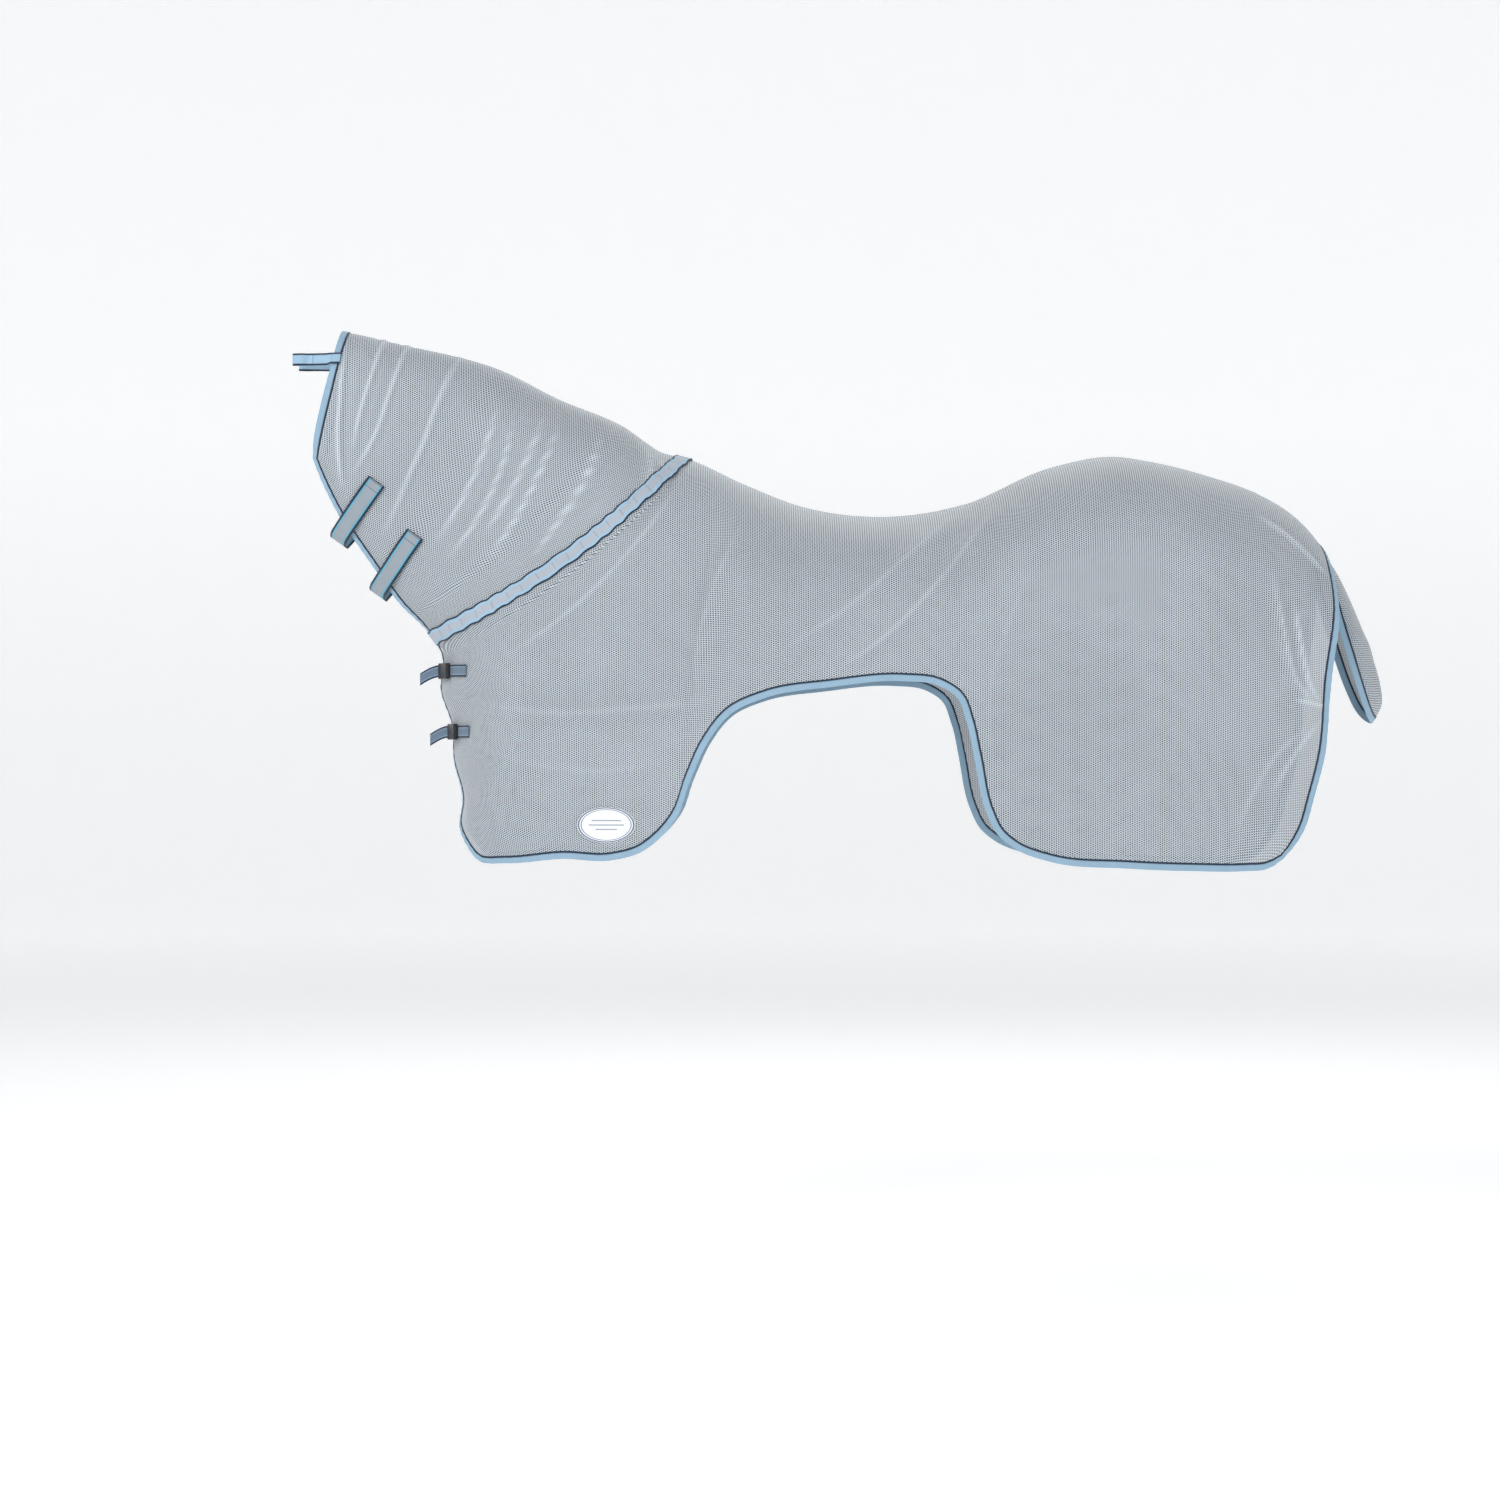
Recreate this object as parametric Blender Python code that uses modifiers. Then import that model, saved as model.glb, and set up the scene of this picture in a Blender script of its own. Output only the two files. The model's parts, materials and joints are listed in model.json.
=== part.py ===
"""Riding fly sheet for a horse: mesh body and neck cover, tapes, straps and chest buckles.

Run with: blender --background --python part.py
Units are metres, +Z is up, the horse faces -X and its left side is -Y.
The origin is the top line at the withers, where the neck cover joins the body.

Each half of the sheet is one surface. A cross-section leaves the top line, rounds over the back,
hangs down the side and, at the neck and chest, wraps towards the middle of the horse again.
Every panel, tape, binding and strap reads its place from that surface.
"""
import math

import bmesh
import bpy
import numpy as np
from mathutils import Matrix, Vector

# ---- overall sizes ----
BODY_LENGTH = 1.332        # withers back to the dock
NECK_REACH = 0.790         # withers forward to the tip of the neck cover
POLL_RISE = 0.269          # withers up to the poll edge
DROP = 0.857               # withers down to the lowest hem
BARREL_WIDTH = 0.660       # across the sheet at the widest ribs

# ---- cloth, tape and strap sizes ----
CLEARANCE = 0.0003         # gap between pieces that touch
MESH_THICKNESS = 0.002     # mesh panels
BINDING_WIDTH = 0.015      # edge binding, measured on the face
BINDING_THICKNESS = 0.004
BINDING_GAP = 0.0005       # in the cloth's plane, from the panel's edge
BINDING_PROUD = 0.001      # how far the binding stands out of the panel
SEAM_HALF_GAP = 0.001      # from the middle plane to the edge of a panel
FLAP_GAP = 0.0018          # from the binding at the dock to the tail flap
FLAP_BARE = 0.65           # share of the flap's first row of faces that has no binding
SEAM_TAPE_WIDTH = 0.020
SEAM_TAPE_THICKNESS = 0.0012
SEAM_TAPE_DROP = 0.0006     # from the panels' inner face
WITHER_TAPE_WIDTH = 0.034
WITHER_TAPE_THICKNESS = 0.003
STRAP_WIDTH = 0.041        # throat straps
STRAP_THICKNESS = 0.0015
TOUCH_TAPE_WIDTH = 0.033   # hook and loop patches under the throat straps
TOUCH_TAPE_THICKNESS = 0.0008
TAB_WIDTH = 0.025          # bridle tabs
TAB_THICKNESS = 0.0015
TAB_REACH = 0.099          # from the sewn edge to the far side of the loop
TAB_LOOP_LENGTH = 0.026    # clear space for the bridle strap
TAB_LOOP_GAP = 0.0075
TAB_LIFT = 0.0042          # from the panel's outer face, so that the tab clears the binding
TAB_LAP = 0.012            # where the loop's end lies back on the tab
WEBBING_WIDTH = 0.025      # chest straps
WEBBING_THICKNESS = 0.0016
BUCKLE_LENGTH = 0.036      # socket half
BUCKLE_DEPTH = 0.010
BUCKLE_WALL = 0.0022
BUCKLE_SHOULDER = 0.004    # how far the buckle is wider than the webbing, on each side
SOCKET_DEPTH = 0.020
PLUG_BASE = 0.012
PLUG_SLOP = 0.0004         # running clearance of the plug in its socket
PRONG_WIDTH = 0.005
TONGUE_WIDTH = 0.008
TAIL_LENGTH = 0.045        # free end of the webbing
LABEL_LENGTH = 0.120
LABEL_HEIGHT = 0.073
LABEL_THICKNESS = 0.001

# ---- the outline at its reference size: 1.332 long, 0.790 forward, 0.269 up, 0.857 down ----
REFERENCE = {"back": 1.332, "forward": 0.790, "up": 0.269, "down": 0.857, "across": 0.660}
TOP_LINE = [
    (-0.800, 0.278), (-0.729, 0.269), (-0.605, 0.242), (-0.399, 0.189), (-0.273, 0.126),
    (-0.147, 0.074), (-0.053, 0.014), (0.000, 0.000), (0.110, -0.050), (0.240, -0.100),
    (0.400, -0.120), (0.571, -0.095), (0.756, -0.017), (0.886, 0.006), (0.971, -0.006),
    (1.082, -0.034), (1.193, -0.074), (1.259, -0.114), (1.303, -0.158), (1.332, -0.202),
]
FACE_EDGE = [(-0.729, 0.269), (-0.752, 0.170), (-0.774, 0.080), (-0.790, 0.002)]
LOWER_EDGE = [
    (-0.790, 0.002), (-0.733, -0.119), (-0.651, -0.238), (-0.603, -0.303), (-0.541, -0.369),
    (-0.519, -0.410), (-0.522, -0.483), (-0.500, -0.557), (-0.496, -0.630), (-0.474, -0.710),
    (-0.478, -0.765), (-0.461, -0.801), (-0.430, -0.836), (-0.380, -0.841), (-0.258, -0.832),
    (-0.157, -0.834), (-0.097, -0.818), (-0.059, -0.790), (-0.022, -0.745), (0.008, -0.665),
    (0.043, -0.591), (0.089, -0.535), (0.159, -0.503), (0.289, -0.482), (0.438, -0.470),
    (0.507, -0.479), (0.544, -0.503), (0.563, -0.549), (0.579, -0.619), (0.604, -0.735),
    (0.625, -0.778), (0.660, -0.808), (0.735, -0.836), (0.895, -0.850), (1.036, -0.856),
    (1.141, -0.857), (1.182, -0.854), (1.222, -0.832),
]
EDGE_END = sum(math.dist(a, b) for a, b in zip(LOWER_EDGE, LOWER_EDGE[1:]))
REAR_EDGE = [
    (1.332, -0.202), (1.337, -0.250), (1.341, -0.325), (1.320, -0.480), (1.305, -0.630),
    (1.283, -0.710), (1.262, -0.775), (1.222, -0.832),
]
# Edge position (metres along LOWER_EDGE) against a measure of the section that ends there.
RIB_TOPS = [
    (0.00, -0.729), (0.134, -0.640), (0.278, -0.430), (0.359, -0.240), (0.420, -0.070),
    (0.450, -0.012), (0.520, 0.010), (0.720, 0.028), (0.945, 0.042), (1.218, 0.058),
    (1.471, 0.080), (1.553, 0.100), (1.625, 0.135), (1.702, 0.190), (1.834, 0.310),
    (2.053, 0.515), (2.147, 0.590), (2.219, 0.635), (2.391, 0.730), (2.669, 0.920),
    (2.880, 1.150), (2.960, 1.265), (EDGE_END, 1.332),
]
HALF_WIDTHS = [
    (0.00, 0.085), (0.278, 0.108), (0.450, 0.168), (0.520, 0.184), (0.720, 0.200), (0.945, 0.211),
    (1.218, 0.224), (1.471, 0.240), (1.553, 0.254), (1.625, 0.276), (1.702, 0.300), (1.834, 0.320),
    (2.053, 0.330), (2.391, 0.326), (2.669, 0.308), (2.880, 0.272), (EDGE_END, 0.200),
]
LOW_WIDTHS = [
    (0.00, 0.085), (0.278, 0.108), (0.450, 0.172), (0.720, 0.222), (0.945, 0.236),
    (1.218, 0.258), (1.471, 0.290), (1.702, 0.316), (1.983, 0.328), (2.391, 0.322),
    (2.669, 0.298), (2.880, 0.262), (EDGE_END, 0.216),
]
TOP_ROUNDS = [(0.00, 0.110), (0.278, 0.150), (0.450, 0.200), (0.945, 0.260), (2.669, 0.250), (EDGE_END, 0.200)]
LOW_ROUNDS = [(0.00, 0.090), (0.278, 0.120), (0.450, 0.190), (0.945, 0.220), (EDGE_END, 0.200)]
WRAP_DEGREES = [
    (0.00, 34.0), (0.278, 50.0), (0.400, 66.0), (0.460, 80.0), (0.520, 83.0), (0.700, 82.0),
    (0.803, 68.0), (0.898, 50.0), (0.995, 30.0), (1.150, 10.0), (1.300, 0.0), (EDGE_END, 0.0),
]
SAGS = [(0.00, 0.000), (0.278, 0.010), (0.450, 0.034), (0.720, 0.020), (1.218, 0.000), (EDGE_END, 0.000)]
WITHER_SEAM = 0.450        # edge position where the neck cover meets the body

# ---- where the small pieces sit on the reference outline (x, z) ----
STRAP_ENDS = {"upper": (-0.649, -0.051), "lower": (-0.567, -0.162)}
STRAP_LEAN = math.radians(54.5)
STRAP_LAP = 0.122          # from a strap's square end to the edge of the neck cover
STRAP_PAST_EDGE = 0.007    # how far it runs on before it turns under the throat
STRAP_BULGE = 0.006        # how far it stands off the edge of the neck cover where it turns
STRAP_DIP = 0.028          # how far its middle lies below the edge of the neck cover
STRAP_SEWN = 0.045         # how much of it is sewn to the right side
TOUCH_TAPE_LENGTH = 0.080
TOUCH_TAPE_INSET = 0.008   # from the strap's square end
TAB_HEIGHT = 0.205
TAB_SEWN = 0.003           # how much of a bridle tab lies past the binding, on the neck cover
CHEST_HEIGHTS = {"upper": -0.445, "lower": -0.571}
BUCKLE_OFFSET = 0.088      # middle of the socket, round to the left of the centre line
WEBBING_SEWN_LEFT = 0.150  # where the chest webbing is sewn, out from the centre line
WEBBING_SEWN_RIGHT = 0.125
WEBBING_BULGE = 0.009      # how far the webbing stands off the bindings at the centre line
LABEL_CENTRE = (-0.167, -0.762)

# ---- tail flap: half of its edge (x, y, z) and its ridge (x, z) at the reference size ----
FLAP_EDGE = [(1.340, 0.095, -0.240), (1.360, 0.100, -0.330), (1.382, 0.098, -0.410), (1.404, 0.084, -0.480),
             (1.420, 0.060, -0.520), (1.431, 0.034, -0.536), (1.438, 0.014, -0.541)]
FLAP_RIDGE = [(1.345, -0.212), (1.374, -0.258), (1.404, -0.330), (1.430, -0.410),
              (1.447, -0.470), (1.450, -0.518), (1.439, -0.540)]

COLUMNS_NECK = 15
COLUMNS_BODY = 66
ROWS = 8
TURN_WEIGHT = 0.16         # metres of straight edge that one radian of bend counts as, when columns are spaced
ROUND_STRETCH = 1.3        # length of the arc over the top for each metre that it drops

COLOURS = {
    "mesh": (0.72, 0.77, 0.80, 0.85), "binding": (0.45, 0.66, 0.78, 0.7), "seam_tape": (0.8, 0.84, 0.86, 0.7),
    "strap": (0.42, 0.47, 0.49, 0.75), "hook": (0.03, 0.04, 0.07, 0.9), "webbing": (0.36, 0.52, 0.64, 0.75),
    "buckle": (0.012, 0.012, 0.014, 0.35), "label": (0.9, 0.91, 0.92, 0.5),
}


# ---- curves and the shared surface ----
def smooth_curve(points, count):
    """Cubic curve through the points, read at count even steps of its length."""
    points = np.asarray(points, dtype=float)
    chord = np.concatenate([[0.0], np.cumsum(np.linalg.norm(np.diff(points, axis=0), axis=1))])
    slope = np.gradient(points, chord, axis=0, edge_order=2 if len(points) > 2 else 1)
    return hermite(chord, points, slope, np.linspace(0, chord[-1], count))


def smooth_value(pairs, at):
    """Cubic curve through (position, value) pairs, read at the positions."""
    pairs = np.asarray(pairs, dtype=float)
    slope = np.gradient(pairs[:, 1], pairs[:, 0])
    return hermite(pairs[:, 0], pairs[:, 1:], slope[:, None], np.asarray(at, dtype=float))[..., 0]


def hermite(knots, values, slopes, at):
    cell = np.clip(np.searchsorted(knots, at, side="right") - 1, 0, len(knots) - 2)
    width = knots[cell + 1] - knots[cell]
    t = (at - knots[cell]) / width
    t, width = t[..., None], width[..., None]
    rise = values[cell + 1] - values[cell]
    return (values[cell] + rise * t * t * (3 - 2 * t)
            + width * slopes[cell] * t * (1 - t) ** 2 - width * slopes[cell + 1] * t * t * (1 - t))


def sized(points):
    """Reference (x, z) or (x, y, z) points stretched to the driving sizes."""
    points = np.array(points, dtype=float)
    back, forward = BODY_LENGTH / REFERENCE["back"], NECK_REACH / REFERENCE["forward"]
    up, down = POLL_RISE / REFERENCE["up"], DROP / REFERENCE["down"]
    points[..., 0] *= np.where(points[..., 0] > 0, back, forward)
    points[..., -1] *= np.where(points[..., -1] > 0, up, down)
    if points.shape[-1] == 3:
        points[..., 1] *= BARREL_WIDTH / REFERENCE["across"]
    return points


def inset(points, amount):
    """The outline moved towards the cloth, which lies on the left of its direction of travel."""
    ahead = np.gradient(points, axis=0)
    ahead /= np.linalg.norm(ahead, axis=1)[:, None]
    return points + np.stack([-ahead[:, 1], ahead[:, 0]], axis=1) * np.reshape(amount, (-1, 1))


def trimmed_to_meet(first, second):
    """Two outlines that cross near the first one's end and the second one's start, cut to their crossing."""
    a, b = first[-1] - first[-2], second[1] - second[0]
    start = second[0] - first[-1]
    along = (start[0] * b[1] - start[1] * b[0]) / (a[0] * b[1] - a[1] * b[0])
    corner = first[-1] + a * along
    kept_first = np.concatenate([first[(first - corner) @ a < 0], corner[None]])
    kept_second = np.concatenate([corner[None], second[(second - corner) @ b > 0]])
    return evenly(kept_first, len(first)), evenly(kept_second, len(second))


def evenly(points, count):
    gone = np.concatenate([[0.0], np.cumsum(np.linalg.norm(np.diff(points, axis=0), axis=1))])
    at = np.linspace(0, gone[-1], count)
    return np.stack([np.interp(at, gone, points[:, k]) for k in range(points.shape[1])], axis=1)


class Half:
    """One half of the sheet: points and outward normals on the left side, by edge position and depth."""

    def __init__(self):
        samples = 400
        station = np.linspace(0, EDGE_END, samples)
        wrap = np.radians(np.clip(smooth_value(WRAP_DEGREES, station), 0, 84))
        lower = sized(smooth_curve(LOWER_EDGE, samples))
        lower = inset(lower, BINDING_WIDTH * np.cos(wrap))
        face = inset(sized(smooth_curve(FACE_EDGE, 60)), BINDING_WIDTH)
        rear = inset(sized(smooth_curve(REAR_EDGE, 60))[::-1], BINDING_WIDTH)[::-1]
        face, lower = trimmed_to_meet(face, lower)
        lower[-1] = rear[-1] = (lower[-1] + rear[-1]) / 2
        self.station, self.lower, self.face, self.rear = station, lower, face, rear
        self.top = sized(smooth_curve(TOP_LINE, 600))

    def top_height(self, x):
        return np.interp(x, self.top[:, 0], self.top[:, 1])

    def edge(self, station):
        return np.stack([np.interp(station, self.station, self.lower[:, k]) for k in (0, 1)], axis=-1)

    def point(self, station, depth):
        """Point on the left half: station along the lower edge, depth from 0 at the top to 1 at the edge."""
        station, depth = np.broadcast_arrays(np.asarray(station, float), np.asarray(depth, float))
        rib = smooth_value(RIB_TOPS, station)
        rib = np.where(rib < 0, rib * self.face[0, 0] / RIB_TOPS[0][1], rib * self.rear[0, 0] / RIB_TOPS[-1][1])
        top = np.stack([rib, self.top_height(rib)], axis=-1)
        low = self.edge(station)
        along = low - top
        length = np.linalg.norm(along, axis=-1)
        across = BARREL_WIDTH / REFERENCE["across"]
        wrap = np.radians(np.clip(smooth_value(WRAP_DEGREES, station), 0, 84))
        over = np.minimum(smooth_value(TOP_ROUNDS, station), 0.75 * length)
        under = smooth_value(LOW_ROUNDS, station)
        reach, width = section(depth, length, over, under, wrap)
        blend = depth * depth * (3 - 2 * depth)
        half = smooth_value(HALF_WIDTHS, station) * (1 - blend) + smooth_value(LOW_WIDTHS, station) * blend
        share = reach / length
        side = top + along * share[..., None]
        drop = 4 * share * (1 - share) * smooth_value(SAGS, station)
        side += drop[..., None] * np.stack([-along[..., 1], along[..., 0]], -1) / length[..., None]
        side += self.end_shift(station, share)
        return np.stack([side[..., 0], -(SEAM_HALF_GAP + across * half * width), side[..., 1]], axis=-1)

    def end_shift(self, station, share):
        """Bends the first and last sections to the face edge and to the rear edge."""
        shift = 0.0
        for curve, near in ((self.face, 1 - station / 0.30), (self.rear, 1 - (EDGE_END - station) / 0.45)):
            weight = np.clip(near, 0, 1) ** 2
            at = np.linspace(0, 1, len(curve))
            chord = curve[0] + (curve[-1] - curve[0]) * share[..., None]
            bent = np.stack([np.interp(share, at, curve[:, k]) for k in (0, 1)], axis=-1)
            shift = shift + weight[..., None] * (bent - chord)
        return shift

    def normal(self, station, depth):
        """Outward unit normal on the left half, from small steps along the surface."""
        step = 0.002
        s0, s1 = np.clip(station - step, 0, EDGE_END), np.clip(station + step, 0, EDGE_END)
        d0, d1 = np.clip(depth - step, 0, 1), np.clip(depth + step, 0, 1)
        out = np.cross(self.point(station, d1) - self.point(station, d0),
                       self.point(s1, depth) - self.point(s0, depth))
        return out / np.linalg.norm(out, axis=-1)[..., None]


def section(depth, length, over, under, wrap):
    """Distance down the section and share of the half-width: an arc over the top, a drop, an arc inwards."""
    straight = length - over - under * np.sin(wrap)
    first, last = ROUND_STRETCH * over, under * wrap
    gone = depth * (first + straight + last)
    a = np.clip(gone / first, 0, 1) * math.pi / 2
    b = np.clip(gone - first, 0, straight)
    c = np.clip((gone - first - straight) / under, 0, wrap)
    return over * (1 - np.cos(a)) + b + under * np.sin(c), np.sin(a) * np.cos(c)


HALF = Half()
LOOKUP_STATION, LOOKUP_DEPTH = np.meshgrid(np.linspace(0, EDGE_END, 500), np.linspace(0, 1, 160), indexing="ij")
LOOKUP = HALF.point(LOOKUP_STATION, LOOKUP_DEPTH)
LOOKUP_NORMAL = HALF.normal(LOOKUP_STATION, LOOKUP_DEPTH)


def laid_on(flat, axis, lift):
    """Lifts points given in the two other coordinates onto the left half, along the given axis."""
    keep = [k for k in (0, 1, 2) if k != axis]
    flat = np.asarray(flat, dtype=float)
    usable = np.abs(LOOKUP_NORMAL[..., axis]) > 0.25
    base, normals = LOOKUP[usable], LOOKUP_NORMAL[usable]
    result = np.empty(flat.shape[:-1] + (3,))
    for index in np.ndindex(flat.shape[:-1]):
        nearest = np.argmin(((base[:, keep] - flat[index]) ** 2).sum(axis=1))
        origin, normal = base[nearest], normals[nearest]
        point = np.empty(3)
        point[keep] = flat[index]
        point[axis] = origin[axis] - normal[keep] @ (point[keep] - origin[keep]) / normal[axis]
        result[index] = point + normal * lift
    return result


DEPTHS = np.linspace(0, 1, ROWS + 1)


# ---- turning grids into objects ----
def material(kind):
    made = bpy.data.materials.get(kind)
    if made is None:
        made = bpy.data.materials.new(kind)
        made.use_nodes = True
        shader = made.node_tree.nodes["Principled BSDF"]
        red, green, blue, rough = COLOURS[kind]
        shader.inputs["Base Color"].default_value = (red, green, blue, 1)
        shader.inputs["Roughness"].default_value = rough
        shader.inputs["Metallic"].default_value = 0.0
    return made


def add_object(name, mesh, kind, group):
    made = bpy.data.objects.new(name, mesh)
    mesh.materials.append(material(kind))
    group.objects.link(made)
    return made


def turn_about(made, point):
    """Puts the object's origin on its joint axis and leaves its surface where it is."""
    made.data.transform(Matrix.Translation(-Vector(point)))
    made.location = point
    return made


def sheet_object(name, grid, kind, group, thickness, flip=False):
    """A grid of points as a cloth solid: its outer face is the grid and its thickness lies under it."""
    rows, columns = grid.shape[:2]
    index = np.arange(rows * columns).reshape(rows, columns)
    quads = np.stack([index[:-1, :-1], index[1:, :-1], index[1:, 1:], index[:-1, 1:]], axis=-1).reshape(-1, 4)
    quads = quads[:, ::-1] if flip else quads
    mesh = bpy.data.meshes.new(name)
    mesh.from_pydata(grid.reshape(-1, 3).tolist(), [], quads.tolist())
    mesh.shade_smooth()
    made = add_object(name, mesh, kind, group)
    solid = made.modifiers.new("thickness", "SOLIDIFY")
    solid.thickness = thickness
    solid.offset = -1
    return made


def sided(grid, side):
    """The left half's points, or the right half's when side is +1."""
    grid = np.array(grid)
    if side > 0:
        grid[..., 1] *= -1
    return grid


def stations_between(first, last, columns):
    """Edge positions that crowd together where the lower edge bends."""
    fine = np.linspace(first, last, 600)
    ahead = np.gradient(HALF.edge(fine), axis=0)
    turn = np.abs(np.gradient(np.unwrap(np.arctan2(ahead[:, 1], ahead[:, 0]))))
    measure = np.concatenate([[0.0], np.cumsum((np.diff(fine) + TURN_WEIGHT * (turn[1:] + turn[:-1]) / 2))])
    return np.interp(np.linspace(0, measure[-1], columns + 1), measure, fine)


# ---- cloth panels and their tapes ----
def beside_seam(distance):
    """Edge positions that lie the given distance from the wither seam, one for each depth."""
    stations = WITHER_SEAM + np.linspace(0, np.sign(distance) * 0.4, 800)
    line = HALF.point(stations[:, None], DEPTHS[None, :])
    gone = np.concatenate([np.zeros((1, len(DEPTHS))), np.linalg.norm(np.diff(line, axis=0), axis=2).cumsum(axis=0)])
    return np.array([np.interp(abs(distance), gone[:, k], stations) for k in range(len(DEPTHS))])


def panel_grid(start, end, columns):
    """Points of a left panel between two lines of edge positions, each given for every depth."""
    even = stations_between(start[-1], end[-1], columns)
    share = ((even - even[0]) / (even[-1] - even[0]))[:, None]
    return HALF.point(start + (end - start) * share, np.broadcast_to(DEPTHS, (columns + 1, len(DEPTHS))))


def panel(name, side, grid, group):
    return sheet_object(name, sided(grid, side), "mesh", group, MESH_THICKNESS, flip=side < 0)


def unit(vectors):
    return vectors / np.linalg.norm(vectors, axis=-1)[..., None]


def strip_frame(points, out):
    """Points of an edge with their normals and away directions: out made square to the edge."""
    ahead = unit(np.gradient(points, axis=0))
    away = unit(out - ahead * (out * ahead).sum(axis=1)[:, None])
    return points, np.cross(away, ahead), away


def edge_line(grid, end_first):
    """Free edge of a left panel, lower edge and one end: points, normals and away directions.

    Each edge point's away direction continues the panel's last face, square to the edge.
    """
    lower, lower_out = grid[:, -1], unit(grid[:, -1] - grid[:, -2])
    end, before = (grid[0], grid[1]) if end_first else (grid[-1], grid[-2])
    end_out = unit(end - before)
    if end_first:
        corner = unit(end_out[-1] + lower_out[0])
        points = np.concatenate([end[:-1], lower])
        out = np.concatenate([end_out[:-1], corner[None], lower_out[1:]])
    else:
        corner = unit(lower_out[-1] + end_out[-1])
        points = np.concatenate([lower, end[-2::-1]])
        out = np.concatenate([lower_out[:-1], corner[None], end_out[-2::-1]])
    return strip_frame(points, out)


def binding_grid(points, normals, away):
    """Binding folded over a panel edge: a flat strip that continues the panel outwards."""
    rows = [points + away * (BINDING_GAP + BINDING_WIDTH * share) + normals * BINDING_PROUD for share in (0, 1)]
    return np.stack(rows, axis=1)


def binding(name, side, edge, group):
    grid = sided(binding_grid(*edge), side)
    grid[..., 1] = np.sign(side) * np.maximum(np.abs(grid[..., 1]), SEAM_HALF_GAP)
    return sheet_object(name, grid, "binding", group, BINDING_THICKNESS, flip=side < 0)


def spaced(line, least):
    """Numbers of the points of a line that lie at least this far apart, with both its ends."""
    kept = [0]
    for number in range(1, len(line) - 1):
        if min(math.dist(line[number], line[kept[-1]]), math.dist(line[number], line[-1])) > least:
            kept.append(number)
    return kept + [len(line) - 1]


def seam_tape(name, grid, group):
    """Tape under the top line that joins the left and right panels: it lies along their first row of faces."""
    grid = grid[spaced(grid[:, 0], 0.008)]
    ridge = grid[:, 0]
    down = grid[:, 1] - ridge
    down /= np.linalg.norm(down, axis=1)[:, None]
    normals = np.cross(down, np.gradient(ridge, axis=0))
    normals /= np.linalg.norm(normals, axis=1)[:, None]
    under = ridge - normals * (MESH_THICKNESS + SEAM_TAPE_DROP)
    outer = under + down * SEAM_TAPE_WIDTH / 2
    middle = under * [1, 0, 1]
    grid = np.stack([outer, middle, sided(outer, 1)], axis=1)
    return sheet_object(name, grid, "seam_tape", group, SEAM_TAPE_THICKNESS)


def wither_tape(name, side, ends, group):
    """Wide tape over the joint of neck cover and body, from the withers to the free edge at the chest.

    Its end runs on beside the bindings, in the directions that they leave the two panels in.
    """
    rows = []
    for share, away in zip((-0.5, 0.0, 0.5), (ends[0], unit(ends[0] + ends[1]), ends[1])):
        station = beside_seam(share * WITHER_TAPE_WIDTH) if share else np.full(len(DEPTHS), WITHER_SEAM)
        line = HALF.point(station, DEPTHS) + HALF.normal(station, DEPTHS) * BINDING_PROUD
        end = line[-1] + away * (BINDING_GAP + BINDING_WIDTH)
        rows.append(np.concatenate([line, end[None]]))
    grid = sided(np.stack(rows, axis=1), side)
    grid[..., 1] = np.sign(side) * np.maximum(np.abs(grid[..., 1]), SEAM_HALF_GAP)
    return sheet_object(name, grid, "binding", group, WITHER_TAPE_THICKNESS, flip=side > 0)


def make_cloth(group):
    reach = WITHER_TAPE_WIDTH / 2 + BINDING_GAP
    neck = panel_grid(np.zeros(len(DEPTHS)), beside_seam(-reach), COLUMNS_NECK)
    body = panel_grid(beside_seam(reach), np.full(len(DEPTHS), EDGE_END), COLUMNS_BODY)
    neck_edge, body_edge = edge_line(neck, True), edge_line(body, False)
    for side, word in ((-1, "left"), (1, "right")):
        panel(f"neck_panel_{word}", side, neck, group)
        panel(f"body_panel_{word}", side, body, group)
        binding(f"neck_binding_{word}", side, neck_edge, group)
        binding(f"body_binding_{word}", side, body_edge, group)
        wither_tape(f"wither_tape_{word}", side, (neck_edge[2][-1], body_edge[2][0]), group)
    seam_tape("crest_seam_tape", neck[1:], group)
    seam_tape("back_seam_tape", body[:-1], group)
    return neck_edge, body_edge


# ---- tail flap ----
def make_tail_flap(body_edge, group):
    """Arched flap over the dock: each row runs from the left edge over the ridge to the right edge."""
    rows, columns = 13, 9
    edge, ridge = sized(smooth_curve(FLAP_EDGE, rows)), sized(smooth_curve(FLAP_RIDGE, rows))
    angle = np.linspace(-1, 1, columns) * math.pi / 2
    rise = (ridge - edge[:, [0, 2]])[:, None, :] * np.cos(angle)[None, :, None]
    grid = np.empty((rows, columns, 3))
    grid[..., [0, 2]] = edge[:, None, [0, 2]] + rise
    grid[..., 1] = edge[:, None, 1] * np.sin(angle)[None, :]
    grid += flap_seat(grid[0], body_edge) * (np.linspace(1, 0, rows) ** 2)[:, None, None]
    hinge = grid[0, columns // 2]
    turn_about(sheet_object("tail_flap", grid, "mesh", group, MESH_THICKNESS), hinge)
    line = np.concatenate([grid[:, 0], grid[-1, 1:-1], grid[::-1, -1]])
    inner = np.concatenate([grid[:, 1], grid[-2, 1:-1], grid[::-1, -2]])
    for end, beside in ((0, 1), (-1, -2)):
        line[end] += (line[beside] - line[end]) * FLAP_BARE
        inner[end] += (inner[beside] - inner[end]) * FLAP_BARE
    points, normals, away = strip_frame(line, unit(line - inner))
    edge = sheet_object("tail_flap_binding", binding_grid(points, normals, away), "binding", group,
                        BINDING_THICKNESS, flip=True)
    turn_about(edge, hinge)


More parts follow.
